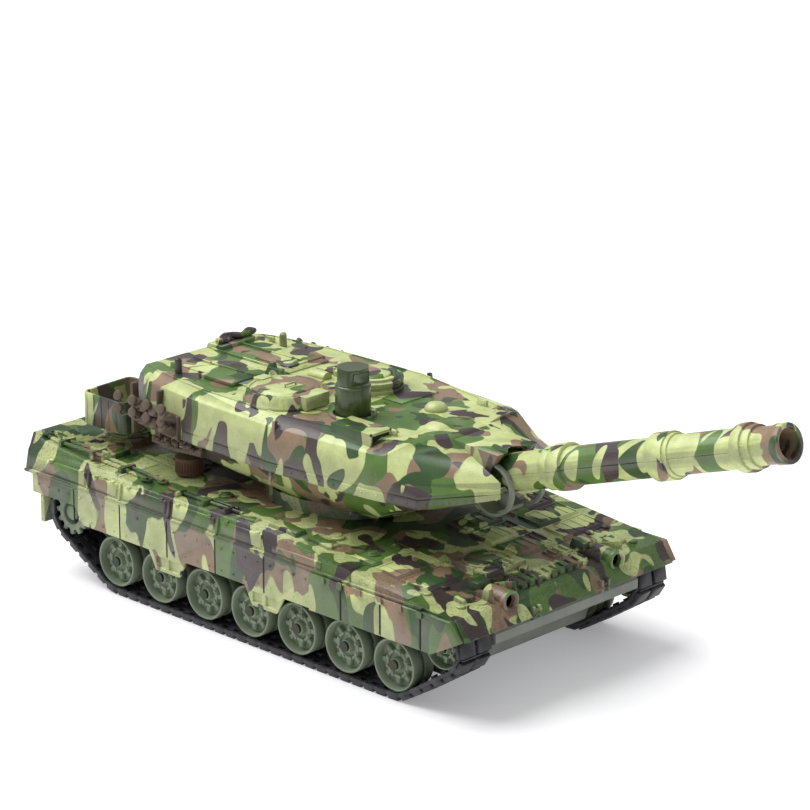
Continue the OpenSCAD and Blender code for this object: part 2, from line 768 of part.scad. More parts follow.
// half outlines of the turret from its nose to its rear, at rising heights
nose_x = 93;
turret_seam = [
  [nose_x, nose_y], [74.5, turret_y - 8.4], [51, turret_y - 4.6], [1, turret_y], [-50, turret_y - 2],
  [-80, turret_y - 6], [-94, turret_y - 12]
];
turret_low_rim = [
  [nose_x, nose_y], [66, turret_y - 8.2], [51, turret_y - 5.4], [1, turret_y - 0.4], [-50, turret_y - 3],
  [-80, turret_y - 7], [-93.6, turret_y - 12.6]
];
turret_shoulder = [
  [74.4, nose_y], [56, turret_y - 9.5], [50.5, turret_y - 7.2], [1.5, turret_y - 3], [-50, turret_y - 4.6],
  [-80, turret_y - 9], [-92, turret_y - 14.4]
];
turret_roof = [
  [65, nose_y], [60, turret_y - 19], [50, turret_y - 16.5], [2, turret_y - 8], [-50, turret_y - 9],
  [-80, turret_y - 13], [-91, turret_y - 17]
];
seam_lip = 1.6;
low_rim_h = 4.7;
shoulder_h = turret_h - 20.7;

module turret_shell() {
  top_z = roof_z - turret_wall;
  color("#b4c07e") in_frame() difference() {
    union() {
      loft([
        [seam_z, both_sides(turret_seam)], [seam_z + seam_lip, both_sides(turret_seam)],
        [seam_z + low_rim_h, both_sides(turret_low_rim)], [seam_z + shoulder_h, both_sides(turret_shoulder)],
        [roof_z, both_sides(turret_roof)]
      ]);
      roof_fittings();
    }
    loft([
      [seam_z - 0.5, inset(both_sides(turret_seam), turret_wall)],
      [seam_z + low_rim_h - turret_wall, inset(both_sides(turret_low_rim), turret_wall + 1)],
      [seam_z + shoulder_h - turret_wall, inset(both_sides(turret_shoulder), turret_wall)],
      [top_z, inset(both_sides(turret_roof), turret_wall)]
    ]);
    gun_slot(cover_x, seam_z - 1, 40);
    // room for the trunnion pins, which lie on the seam
    translate([trunnion_x, 0, trunnion_z]) rod_y(trunnion_d, -nose_y - 8, nose_y + 8);
    // seats of the pieces that plug into the roof
    translate([sight_x, sight_y, top_z - 1]) cylinder(d = sight_stem_d + 2 * run_gap, h = 10);
    for (p = hatch_places) translate([p[0], p[1], top_z - 1]) cylinder(d = p[2], h = 10);
  }
}

// the slot that lets the gun and its drum swing up and down
module gun_slot(x0, z0, h) {
  translate([x0, -nose_y - 0.02, z0]) cube([50, 2 * nose_y + 0.04, h]);
}

// places of the commander's and the loader's hatch: x, y, stem diameter
hatch_places = [[-15.5, -22.9, 6], [-0.6, 11.9, 6]];
sight_x = 19.7;
sight_y = -19.3;
sight_stem_d = 6;

// boxes and domes moulded in one with the roof
module roof_fittings() {
  z = roof_z - 0.5;
  // collar of the commander's sight
  translate([sight_x, sight_y, z]) difference() {
    cylinder(d = sight_d + 5, h = 2);
    translate([0, 0, 0.5]) cylinder(d = sight_d + 1.6, h = 3);
  }
  // gunner's sight box with its open window
  translate([26, -38.2, z - 5]) cube([21.5, 12, 8.6]);
  // lifting eyes
  for (p = [[48, -26], [48, 26], [-77, -27], [-77, 27]])
    translate([p[0] - 2.5, p[1] - 0.8, z]) cube([5, 1.6, 3]);
  // vent dome, rear roof panel and machine gun rest
  translate([53.4, -4.3, z - 0.4]) intersection() {
    translate([0, 0, -7]) sphere(r = 10);
    cylinder(r = 8, h = 6);
  }
  translate([38.2, 9.2, z]) cylinder(d1 = 9, d2 = 6, h = 2.6);
  translate([-84, -24, z]) cube([46, 48, 1.3]);
  translate([-40, -9, z]) cube([8, 1.6, 5.5]);
}

// half outlines of the turret's lower shell
base_belly = [
  [48, nose_y - 0.5], [44, turret_y - 17], [30, turret_y - 15], [2, turret_y - 13], [-30, turret_y - 16],
  [-38, turret_y - 20], [-42, turret_y - 26]
];
base_waist = [
  [60, nose_y], [56, turret_y - 12], [40, turret_y - 9], [2, turret_y - 6], [-50, turret_y - 7],
  [-80, turret_y - 10], [-90, turret_y - 15]
];
flange_h = 4.7;
chin_x = 72;

module turret_base() {
  waist_z = floor_z + 7;
  color("#98a56c") in_frame() difference() {
    union() {
      loft([
        [floor_z, both_sides(base_belly)], [waist_z, both_sides(base_waist)],
        [seam_z - flange_h, both_sides([for (p = turret_seam) [p[0] + (p[0] > 0 ? -3 : 2), p[1] - (p[1] > nose_y ? 2 : 0)]])],
        [seam_z - flange_h + 0.6, both_sides(turret_seam)], [seam_z, both_sides(turret_seam)]
      ]);
      translate([turret_x, 0, ring_gear_z + ring_gear_h]) cylinder(d = spigot_d, h = floor_z + 1 - ring_gear_z - ring_gear_h, $fn = 120);
    }
    intersection() {
      loft([
        [floor_z + turret_wall, inset(both_sides(base_belly), turret_wall)],
        [waist_z + turret_wall, inset(both_sides(base_waist), turret_wall)],
        [seam_z - flange_h + turret_wall, inset(both_sides(turret_seam), turret_wall + 2)],
        [seam_z + 1, inset(both_sides(turret_seam), turret_wall + 2)]
      ]);
      translate([chin_x - 200, -100, floor_z]) cube([198, 200, 40]);
    }
    // chin that rises towards the nose, where the shell is solid
    plate_y(-100, 200) polygon([
      [chin_x, floor_z - 1], [chin_x, seam_z - flange_h - 0.4], [nose_x + 1, seam_z - 2], [nose_x + 1, floor_z - 1]
    ]);
    gun_slot(trunnion_x - drum_r - 4, floor_z + turret_wall + 2, 40);
    translate([turret_x, 0, ring_gear_z]) cylinder(d = spigot_d - 10, h = floor_z + 4 - ring_gear_z, $fn = 96);
    // holes for the trunnion pins
    translate([trunnion_x, 0, trunnion_z]) rod_y(trunnion_d, -nose_y - 8, nose_y + 8);
  }
}

module turret_ring_gear() {
  color("#e8e6dc") in_frame() translate([turret_x, 0, ring_gear_z]) difference() {
    linear_extrude(ring_gear_h) gear_2d(ring_gear_teeth, ring_gear_m, 0);
    translate([0, 0, -1]) cylinder(d = spigot_d - 10, h = ring_gear_h + 2, $fn = 96);
  }
}

// sheet box over the root of the gun, notched for the barrel
cover_x = trunnion_x - 18.4;
cover_l = 23.4;

module mantlet_cover() {
  x0 = cover_x + 0.02;
  x1 = cover_x + cover_l;
  t = 1.3;
  color("#7d6a55") in_frame() difference() {
    plate_y(-nose_y, 2 * nose_y) polygon([
      [x0, roof_z - 12.6], [x1 - 4.8, roof_z - 10.4], [x1, roof_z - 2], [x0, roof_z - 0.6]
    ]);
    plate_y(-nose_y + t, 2 * nose_y - 2 * t) polygon([
      [x0 + t, roof_z - 20], [x1 - 4.8, roof_z - 20], [x1 - 4.8 - t, roof_z - 10.4],
      [x1 - 2 * t, roof_z - 1.9 - t], [x0 + t, roof_z - 0.6 - t]
    ]);
    // arch over the barrel, wide enough for the gun's whole swing
    for (a = [gun_el - 2, gun_el + 3, gun_el + 8])
      translate([trunnion_x, 0, trunnion_z]) rotate([0, -a, 0]) along_gun(-2, 40, barrel_d + 2.6);
    // room for the rims of the cradle
    translate([trunnion_x, 0, trunnion_z]) rod_y(2 * (drum_r + part_gap), -nose_y + t, nose_y - t);
    translate([trunnion_x - 1, -barrel_r - 1.3, roof_z - 30]) cube([40, barrel_d + 2.6, 22]);
  }
}

// open baskets hung on the rear of the turret
basket_h = 14;
basket_outline = [
  [-94.05, turret_y - 6], [-94.05, 13.4], [-121.6, 13.4], [-120, turret_y - 6]
];

module basket_2d(r) {
  offset(r = r, $fn = 24) offset(delta = -r) polygon(basket_outline);
}

module stowage_basket(side) {
  z0 = seam_z + 1.4 - basket_h;
  sided(side) difference() {
    translate([0, 0, z0]) linear_extrude(basket_h) basket_2d(3);
    translate([0, 0, z0 + 1.2]) linear_extrude(basket_h) offset(delta = -1.2) basket_2d(3);
  }
}

module stowage_baskets() {
  color("#8a7f68") in_frame() for (side = [-1, 1]) stowage_basket(side);
}

// eight short discharger tubes on a bracket on each side
module smoke_launchers() {
  side_run = turret_seam[4] - turret_seam[5];
  color("#6d6152") in_frame() for (side = [-1, 1]) sided(side)
    translate([turret_seam[4][0], turret_seam[4][1], seam_z]) rotate([0, 0, atan2(side_run[1], side_run[0])]) {
      translate([-33, 0.05, -4]) cube([29, 1.8, 10]);
      for (k = [0:3]) for (row = [0, 1])
        translate([-29 + k * 7.4, 1.5, -1 + row * 5.4]) rotate([-62, 0, -24 + 8 * k])
          cylinder(d = 4.4, h = 7, $fn = 24);
    }
}

module antenna_stubs() {
  color("#5b4a3a") in_frame() for (p = [[-67.6, 25.9], [-72, -30]])
    translate([p[0], p[1], roof_z]) {
      cylinder(d = 3.2, h = 5);
      translate([0, 0, 5]) sphere(d = 3.2);
    }
}

module commander_hatch() {
  p = hatch_places[0];
  color("#93a15e") in_frame() translate([p[0], p[1], roof_z]) {
    cylinder(d = 34.6, h = 1);
    difference() {
      translate([0, 0, 1]) cylinder(d1 = 33.6, d2 = 31, h = 4.2);
      translate([0, 0, 4.6]) difference() {
        cylinder(d = 29, h = 2);
        cylinder(d = 27.4, h = 2);
      }
    }
    // lid and the periscope box in front of it
    translate([0, 0, 5.2]) cylinder(d1 = 25, d2 = 23, h = 0.8);
    translate([12.6, -6.5, 0.4]) cube([6.4, 13, 5.6]);
    translate([0, 0, -turret_wall + 0.2]) cylinder(d = p[2], h = 3);
  }
}

module loader_hatch() {
  p = hatch_places[1];
  color("#a8b46c") in_frame() translate([p[0], p[1], roof_z]) {
    cylinder(d = 26, h = 2);
    cylinder(d = 23.4, h = 3.4);
    translate([0, 0, 3.4]) cylinder(d = 26, h = 1.8);
    difference() {
      translate([0, 0, 5.2]) cylinder(d = 22, h = 1.2);
      translate([0, 0, 5.2]) cylinder(d = 17, h = 3);
    }
    translate([0, 0, -turret_wall + 0.2]) cylinder(d = p[2], h = 3);
  }
}

module commander_sight() {
  color("#4d5b2c") in_frame() translate([sight_x, sight_y, roof_z]) {
    translate([0, 0, -turret_wall]) cylinder(d = sight_stem_d, h = 4);
    translate([0, 0, 0.3]) cylinder(d = sight_d, h = 12.4);
    difference() {
      translate([0, 0, 12.6]) rotate([0, 0, 22.5]) cylinder(d = sight_d * 0.95, h = 8, $fn = 8);
      translate([sight_d * 0.32, -sight_d * 0.3, 14.4]) cube([6, sight_d * 0.6, 4.6]);
    }
  }
}

// ---------- gun ----------

module trunnion_pins() {
  color("#b8b8b4") in_frame() translate([trunnion_x, 0, trunnion_z]) for (side = [-1, 1]) sided(side)
    rod_y(trunnion_d, 3, nose_y + 5);
}

module gun_cradle() {
  color("#8b8f84") in_frame() gun_frame() difference() {
    union() {
      difference() {
        rod_y(2 * drum_r, -drum_w / 2, drum_w / 2);
        rod_y(2 * drum_r - 2.8, -drum_w / 2 - 1, drum_w / 2 + 1);
      }
      rod_y(2 * drum_r - 2, -1, 1);
    }
    // only the two rims reach round in front of the barrel
    translate([-2, -barrel_r - 0.2, -drum_r - 1]) cube([drum_r + 4, barrel_d + 0.4, 2 * drum_r + 2]);
    along_gun(-30, 60, barrel_d + 0.04);
    rod_y(trunnion_d + 2 * run_gap, -20, 20);
  }
}

// whole barrel before it is parted into its two half shells
module barrel_body() {
  s0 = -7;
  difference() {
    union() {
      along_gun(s0, cap_s - 0.2, barrel_d);
      along_gun(26, 30, barrel_d + 2);
      along_gun(30.5, 37, 2 * band_r);
      along_gun(82, 90.5, 2 * band_r);
      along_gun(90.5, 92.5, barrel_d + 1.6);
    }
    along_gun(s0 - 1, cap_s + 1, barrel_d - 3.4);
    rod_y(8.4, -7, 7);
    rod_y(trunnion_d + 2 * run_gap, -20, 20);
  }
}

module barrel_half(sign) {
  gap = 0.05;
  in_frame() gun_frame() intersection() {
    barrel_body();
    translate([-40, -30, gun_rise + (sign > 0 ? gap : -60)]) cube([gun_l + 80, 60, 60 - gap]);
  }
}

module barrel_upper() {
  color("#9a8f62") barrel_half(1);
}

module barrel_lower() {
  color("#8e9a68") barrel_half(-1);
}

module muzzle_cap() {
  color("#6f6150") in_frame() gun_frame() difference() {
    union() {
      along_gun(cap_s, cap_s + 4.4, 2 * band_r);
      along_gun(cap_s, cap_s + 8, barrel_d + 1.2);
      along_gun(cap_s, gun_l - 4, barrel_d - 1);
      along_gun(gun_l - 5, gun_l, barrel_d);
    }
    along_gun(cap_s + 2, gun_l + 1, bore_d);
  }
}

// ---------- the set of pieces ----------

hull_tub();
hull_deck();
skirt(-1);  // skirt_right
skirt(1);  // skirt_left
track(-1);  // track_right
track(1);  // track_left
wheel_pins();
idler_pins();
gearbox_frames();
gear_pins();
drive_motors();
battery_pack();
battery_door();
circuit_board();
speaker();
headlights();
turret_motor();
knob_switch();
hull_screws();
road_wheel(-1, 1);  // road_wheel_r1
road_wheel(-1, 2);  // road_wheel_r2
road_wheel(-1, 3);  // road_wheel_r3
road_wheel(-1, 4);  // road_wheel_r4
road_wheel(-1, 5);  // road_wheel_r5
road_wheel(-1, 6);  // road_wheel_r6
road_wheel(-1, 7);  // road_wheel_r7
road_wheel(1, 1);  // road_wheel_l1
road_wheel(1, 2);  // road_wheel_l2
road_wheel(1, 3);  // road_wheel_l3
road_wheel(1, 4);  // road_wheel_l4
road_wheel(1, 5);  // road_wheel_l5
road_wheel(1, 6);  // road_wheel_l6
road_wheel(1, 7);  // road_wheel_l7
idler(-1);  // idler_right
idler(1);  // idler_left
sprocket(-1);  // sprocket_right
sprocket(1);  // sprocket_left
drive_shaft(-1);  // drive_shaft_right
drive_shaft(1);  // drive_shaft_left
reduction_gear(-1);  // reduction_gear_right
reduction_gear(1);  // reduction_gear_left
motor_pinion(-1);  // motor_pinion_right
motor_pinion(1);  // motor_pinion_left
turret_pinion();
deck_knob();
turret_shell();
turret_base();
turret_ring_gear();
mantlet_cover();
stowage_baskets();
smoke_launchers();
antenna_stubs();
commander_hatch();
loader_hatch();
commander_sight();
trunnion_pins();
gun_cradle();
barrel_upper();
barrel_lower();
muzzle_cap();
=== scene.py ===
"""Looks of a radio controlled model tank, built as an add-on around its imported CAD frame.

Lengths inside the functions are millimetres; MM turns them into Blender's metres.  X counts forward from
the middle road wheel, Y to the tank's left and Z up from the ground.
"""

import math
import random
from types import SimpleNamespace

import bmesh
import bpy
from mathutils import Matrix, Vector
from mathutils.bvhtree import BVHTree


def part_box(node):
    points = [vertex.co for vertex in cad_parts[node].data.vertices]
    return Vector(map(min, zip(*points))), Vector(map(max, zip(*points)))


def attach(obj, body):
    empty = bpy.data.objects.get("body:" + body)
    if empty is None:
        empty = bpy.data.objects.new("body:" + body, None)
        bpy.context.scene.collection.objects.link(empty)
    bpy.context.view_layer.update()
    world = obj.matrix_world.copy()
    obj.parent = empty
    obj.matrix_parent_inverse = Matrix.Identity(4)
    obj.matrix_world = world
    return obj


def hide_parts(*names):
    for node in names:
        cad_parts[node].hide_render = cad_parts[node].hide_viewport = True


bl_info = {
    "name": "RC tank looks",
    "version": (1, 0, 0),
    "blender": (4, 5, 0),
    "location": "View3D > Sidebar > RC Tank",
    "description": "Builds the visible pieces, finishes and stage of a radio controlled model tank",
    "category": "Object",
}

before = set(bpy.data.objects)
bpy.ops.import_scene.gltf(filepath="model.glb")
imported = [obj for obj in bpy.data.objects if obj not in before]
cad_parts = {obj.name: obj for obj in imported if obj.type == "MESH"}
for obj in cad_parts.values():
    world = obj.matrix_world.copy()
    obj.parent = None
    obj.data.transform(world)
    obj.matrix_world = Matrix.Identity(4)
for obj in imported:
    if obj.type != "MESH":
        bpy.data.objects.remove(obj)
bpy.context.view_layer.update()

MM = 0.001
SIDES = (("right", "r", -1), ("left", "l", 1))
WHEELS_PER_SIDE = 7
UP = Vector((0, 0, 1))
SKIN = "camouflage_shell"  # name passed as the slot argument of pieces, mostly those that wear the printed film
BOX_FACES = [(0, 2, 3, 1), (4, 5, 7, 6), (0, 1, 5, 4), (2, 6, 7, 3), (0, 4, 6, 2), (1, 3, 7, 5)]
ROOF_Z = 92.4  # height of the turret's roof


def centre(node):
    """Middle of a CAD node's box, in metres."""
    low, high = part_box(node)
    return (low + high) / 2


MID_X = centre("road_wheel_r4").x


def at(x, y, z):
    """A point of the tank, from millimetres to Blender's metres."""
    return Vector((MID_X + x * MM, y * MM, z * MM))


def circle(x, y, z, radius, count, across=None):
    """Places round an upright axis, closed on itself; across is the radius along Y where it differs."""
    across = radius if across is None else across
    angles = [math.tau * k / count for k in range(count + 1)]
    return [(x + radius * math.cos(a), y + across * math.sin(a), z) for a in angles]


def bolt_places(x, y, z, radius, count, start=0.0):
    """Places round an axle, which runs along Y; start is the first bolt's angle in steps."""
    angles = [math.tau * (k + start) / count for k in range(count)]
    return [(x + radius * math.cos(a), y, z + radius * math.sin(a)) for a in angles]


def node_x(value):
    """Hull X in millimetres of a place in the frame given in metres."""
    return (value - MID_X) / MM


# ---------- colours and materials ----------


def linear(code):
    """Linear RGBA from an sRGB hex value."""
    parts = [int(code[k : k + 2], 16) / 255 for k in (1, 3, 5)]
    return [c / 12.92 if c <= 0.04045 else ((c + 0.055) / 1.055) ** 2.4 for c in parts] + [1.0]


def add(tree, kind, inputs=None, **settings):
    """Adds a node; settings are its own properties, inputs maps sockets to values or to other sockets."""
    made = tree.nodes.new(kind)
    for key, value in settings.items():
        setattr(made, key, value)
    for key, value in (inputs or {}).items():
        if isinstance(value, bpy.types.NodeSocket):
            tree.links.new(value, made.inputs[key])
        else:
            made.inputs[key].default_value = value
    return made


def new_material(name, roughness, metallic=0.0, ior=1.46, coat=0.0, coat_roughness=0.2):
    """An empty material with its shader; returns the material, its tree and the shader."""
    made = bpy.data.materials.new(name)
    made.use_nodes = True
    tree = made.node_tree
    shader = tree.nodes["Principled BSDF"]
    shader.inputs["Roughness"].default_value = roughness
    shader.inputs["Metallic"].default_value = metallic
    if metallic < 1:
        shader.inputs["IOR"].default_value = ior
    shader.inputs["Coat Weight"].default_value = coat
    shader.inputs["Coat Roughness"].default_value = coat_roughness
    return made, tree, shader


def place_mm(tree, stretch=(1, 1, 1), shift=(0, 0, 0)):
    """The surface's own place in millimetres, scaled by stretch and moved by shift."""
    place = add(tree, "ShaderNodeTexCoord").outputs["Object"]
    sized = [s / MM for s in stretch]
    scaled = add(tree, "ShaderNodeVectorMath", {0: place, 1: sized}, operation="MULTIPLY").outputs[0]
    return add(tree, "ShaderNodeVectorMath", {0: scaled, 1: shift}, operation="ADD").outputs[0]


def noise(tree, place, size_mm, detail=2.0, roughness=0.5, distortion=0.0):
    """Noise whose grains are about size_mm across, as a number from 0 to 1."""
    inputs = {
        "Vector": place,
        "Scale": 1 / size_mm,
        "Detail": detail,
        "Roughness": roughness,
        "Distortion": distortion,
    }
    return add(tree, "ShaderNodeTexNoise", inputs).outputs["Fac"]


def ramp(tree, value, low, high, to_low=0.0, to_high=1.0):
    """Maps value from low..high to to_low..to_high, clamped and smooth."""
    inputs = {"Value": value, "From Min": low, "From Max": high, "To Min": to_low, "To Max": to_high}
    return add(tree, "ShaderNodeMapRange", inputs, interpolation_type="SMOOTHSTEP").outputs["Result"]


def mixed(tree, factor, a, b, blend="MIX"):
    """Colour a changed to b by factor."""
    made = add(tree, "ShaderNodeMix", data_type="RGBA", blend_type=blend)
    for key, value in (("Factor", factor), ("A", a), ("B", b)):
        socket = next(s for s in made.inputs if s.name == key and s.enabled)
        if isinstance(value, bpy.types.NodeSocket):
            tree.links.new(value, socket)
        else:
            socket.default_value = value
    return next(s for s in made.outputs if s.enabled)


def bump(tree, shader, height, depth_mm):
    """Relief of depth_mm on the shader's surface."""
    inputs = {"Height": height, "Strength": 1.0, "Distance": depth_mm * MM}
    tree.links.new(add(tree, "ShaderNodeBump", inputs).outputs["Normal"], shader.inputs["Normal"])


def speckled(tree, shader, base, grain_mm, spread=0.12, relief_mm=0.02):
    """Gives a plain moulded colour its slight mottle and its fine surface grain."""
    place = place_mm(tree)
    fine = noise(tree, place, grain_mm, 3.0)
    broad = noise(tree, place, grain_mm * 14, 2.0)
    dark = [c * (1 - spread) for c in base[:3]] + [1]
    light = [min(1.0, c * (1 + spread)) for c in base[:3]] + [1]
    colour = mixed(tree, ramp(tree, broad, 0.3, 0.7), dark, light)
    colour = mixed(tree, ramp(tree, fine, 0.35, 0.75, 0.0, 0.5), colour, base)
    tree.links.new(colour, shader.inputs["Base Color"])
    bump(tree, shader, fine, relief_mm)


# one blotch layer of the printed film: colour name, blotch size, threshold, shift of its noise
PRINT_LAYERS = (
    ("mid_green", 20, 0.49, (0, 0, 0)),
    ("tan_brown", 18, 0.55, (310, 120, 40)),
    ("deep_green", 15, 0.60, (70, 480, 90)),
    ("dark_brown", 14, 0.60, (520, 60, 210)),
    ("pale_green", 15, 0.60, (140, 260, 330)),
)
WALL_STRETCH = 0.45  # how far the film's blotches smear down upright walls


def printed_plastic(name, colours, relief_mm, wear, shade, grain):
    """ABS under a water-transfer camouflage film and satin lacquer.

    The film gives hard-edged round blotches that smear downwards on upright walls, where a darker grey is mixed
    in as painted shade; shade darkens the whole film as painted shade, grain sets how strongly the dark specks
    painted as shade show.
    greyer; shade darkens it where it was laid on coarse texture, grain sets how strongly its dark specks show.
    """
    made, tree, shader = new_material(name, 0.4, coat=0.22, coat_roughness=0.25)
    normal = add(tree, "ShaderNodeTexCoord").outputs["Normal"]
    tilt = add(tree, "ShaderNodeSeparateXYZ", {0: normal}).outputs["Z"]
    level = add(tree, "ShaderNodeMath", {0: tilt}, operation="ABSOLUTE").outputs[0]

    colour = list(colours.pale_green)
    for key, size, threshold, shift in PRINT_LAYERS:
        place = place_mm(tree, (0.95, 1.0, WALL_STRETCH), shift)
        blotch = noise(tree, place, size, 1.0, 0.4, 0.45)
        mask = ramp(tree, blotch, threshold - 0.005, threshold + 0.005)
        colour = mixed(tree, mask, colour, list(getattr(colours, key)))
    # painted shade: upright walls are mixed up to 42% towards the darker wall_shade grey, flat tops not at all
    colour = mixed(tree, ramp(tree, level, 0.16, 0.5, 0.42, 0.0), colour, list(colours.wall_shade))

    # specks where the film did not take on the texture, dark specks painted as shade in the texture's hollows,
    # and a fine uneven tone
    place = place_mm(tree)
    fine = noise(tree, place, 0.55, 3.0, 0.6)
    specks = ramp(tree, noise(tree, place, 0.9, 4.0, 0.7), 0.66, 0.70, 0.0, wear)
    colour = mixed(tree, specks, colour, linear("#D3D5AE"))
    pit_shade = noise(tree, place_mm(tree, shift=(41, 7, 3)), 1.1, 4.0, 0.75)
    pit_shade = ramp(tree, pit_shade, 0.50, 0.62, 0.0, grain)
    colour = mixed(tree, pit_shade, colour, linear("#26241C"))
    tone = ramp(tree, noise(tree, place, 6.0, 3.0), 0.3, 0.7, 0.0, 0.2)
    colour = mixed(tree, tone, colour, linear("#5C5A48"), "MULTIPLY")
    # painted shade: the whole film is multiplied by shade, down to 0.74 on the textured film of the deck
    colour = mixed(tree, 1.0, colour, [shade, shade, shade, 1], "MULTIPLY")
    tree.links.new(colour, shader.inputs["Base Color"])
    tree.links.new(ramp(tree, fine, 0.3, 0.7, 0.32, 0.5), shader.inputs["Roughness"])
    bump(tree, shader, fine, relief_mm)
    return made


def moulded(name, colour, roughness, grain_mm=0.6, relief_mm=0.02, **more):
    """Plain injection-moulded plastic: an even colour with a faint mottle and a fine spark-eroded grain."""
    made, tree, shader = new_material(name, roughness, **more)
    base = linear(colour) if isinstance(colour, str) else list(colour)
    speckled(tree, shader, base, grain_mm, relief_mm=relief_mm)
    return made


def track_plastic(colours):
    """Soft black PVC: near black with a cool purple-grey sheen painted in random patches, and a fine grain in
    its surface.
    """
    made, tree, shader = new_material("moulded_soft_pvc", 0.5, ior=1.5)
    place = place_mm(tree)
    # painted sheen: random patches of the belt are mixed towards a cool purple-grey
    painted_sheen = ramp(tree, noise(tree, place, 5.0, 4.0), 0.35, 0.75, 0.0, 0.55)
    colour = mixed(tree, painted_sheen, list(colours.track), linear("#4A4650"))
    tree.links.new(colour, shader.inputs["Base Color"])
    bump(tree, shader, noise(tree, place, 0.5, 3.0), 0.03)
    return made


def drawn_metal(name, code, roughness, along):
    """Drawn or turned metal: fine scratches that run one way stretch the highlight."""
    made, tree, shader = new_material(name, roughness, metallic=1.0)
    lines = noise(tree, place_mm(tree, along), 0.35, 3.0)
    colour = mixed(tree, ramp(tree, lines, 0.3, 0.7, 0.0, 0.5), linear(code), linear("#FFFFFF"), "MULTIPLY")
    tree.links.new(colour, shader.inputs["Base Color"])
    tree.links.new(ramp(tree, lines, 0.3, 0.7, roughness * 0.7, roughness * 1.3), shader.inputs["Roughness"])
    bump(tree, shader, lines, 0.01)
    return made


def clear_lamp():
    """Clear moulded lamp resin: glossy and see-through, with a faint flow ripple."""
    made, tree, shader = new_material("cast_clear_resin", 0.05, ior=1.5)
    shader.inputs["Base Color"].default_value = linear("#F4F8F4")
    shader.inputs["Transmission Weight"].default_value = 0.9
    bump(tree, shader, noise(tree, place_mm(tree), 1.6, 1.0), 0.02)
    return made


def lit_chip():
    """Red lamp chip: it glows a little, so that it shows through the clear lamp."""
    made, tree, shader = new_material("lamp_chip_red", 0.35)
    speckled(tree, shader, linear("#D8160C"), 0.5)
    shader.inputs["Emission Color"].default_value = linear("#FF1A0A")
    shader.inputs["Emission Strength"].default_value = 0.9
    return made


def make_materials(colours):
    """Every finish of the tank, by the short name that its pieces use."""
    return {
        # the last three numbers are wear, shade and grain; shade and grain paint shade, most of it on the deck's
        # textured film
        "print_smooth": printed_plastic("water_print_on_smooth_abs", colours, 0.015, 0.3, 0.97, 0.1),
        "print_rough": printed_plastic("water_print_on_textured_abs", colours, 0.09, 0.5, 0.74, 0.42),
        "wheel": moulded("moulded_abs_pale_green", colours.wheel, 0.55, 0.7),
        "tub": moulded("moulded_abs_grey_green", colours.lower_hull, 0.55, 0.8),
        "track": track_plastic(colours),
        "olive": moulded("moulded_abs_olive", colours.sight, 0.3, 0.9, 0.012, coat=0.4),
        "knob": moulded("moulded_abs_brown", colours.knob, 0.45),
        "cradle": moulded("moulded_abs_warm_grey", "#7B7F72", 0.5),
        "black": moulded("moulded_abs_black", "#161616", 0.5),
        "gap": moulded("shadowed_panel_gap", "#23241C", 0.8),
        "nylon": moulded("moulded_nylon_white", "#E3E0D3", 0.4, ior=1.53),
        "sleeve": moulded("shrink_sleeve_blue", "#2F5E9E", 0.25, 1.2, ior=1.53),
        "board": moulded("solder_mask_green", "#1F6A3E", 0.3, 0.5, ior=1.55),
        "lamp": clear_lamp(),
        "chip": lit_chip(),
        "stowage": moulded("moulded_abs_dark_brown", "#5F5145", 0.5, 0.8, 0.03),
        "cup": drawn_metal("stamped_reflector", "#C9CBC8", 0.25, (1, 1, 1)),
        "steel": drawn_metal("drawn_steel", "#B9B9B4", 0.3, (1, 0.1, 1)),
        "pin": drawn_metal("blackened_steel", "#4C5044", 0.55, (1, 0.1, 1)),
        "brass": drawn_metal("turned_brass", "#C8A24A", 0.28, (1, 0.2, 1)),
        "can": drawn_metal("plated_motor_can", "#B9BCC0", 0.32, (1, 0.15, 1)),
    }


MATERIALS = {}


def material(key):
    """The finish of that short name, made on first use."""
    if not MATERIALS:
        MATERIALS.update(make_materials(bpy.context.scene.rc_tank_colours))
    return MATERIALS[key]


# ---------- mesh tools ----------


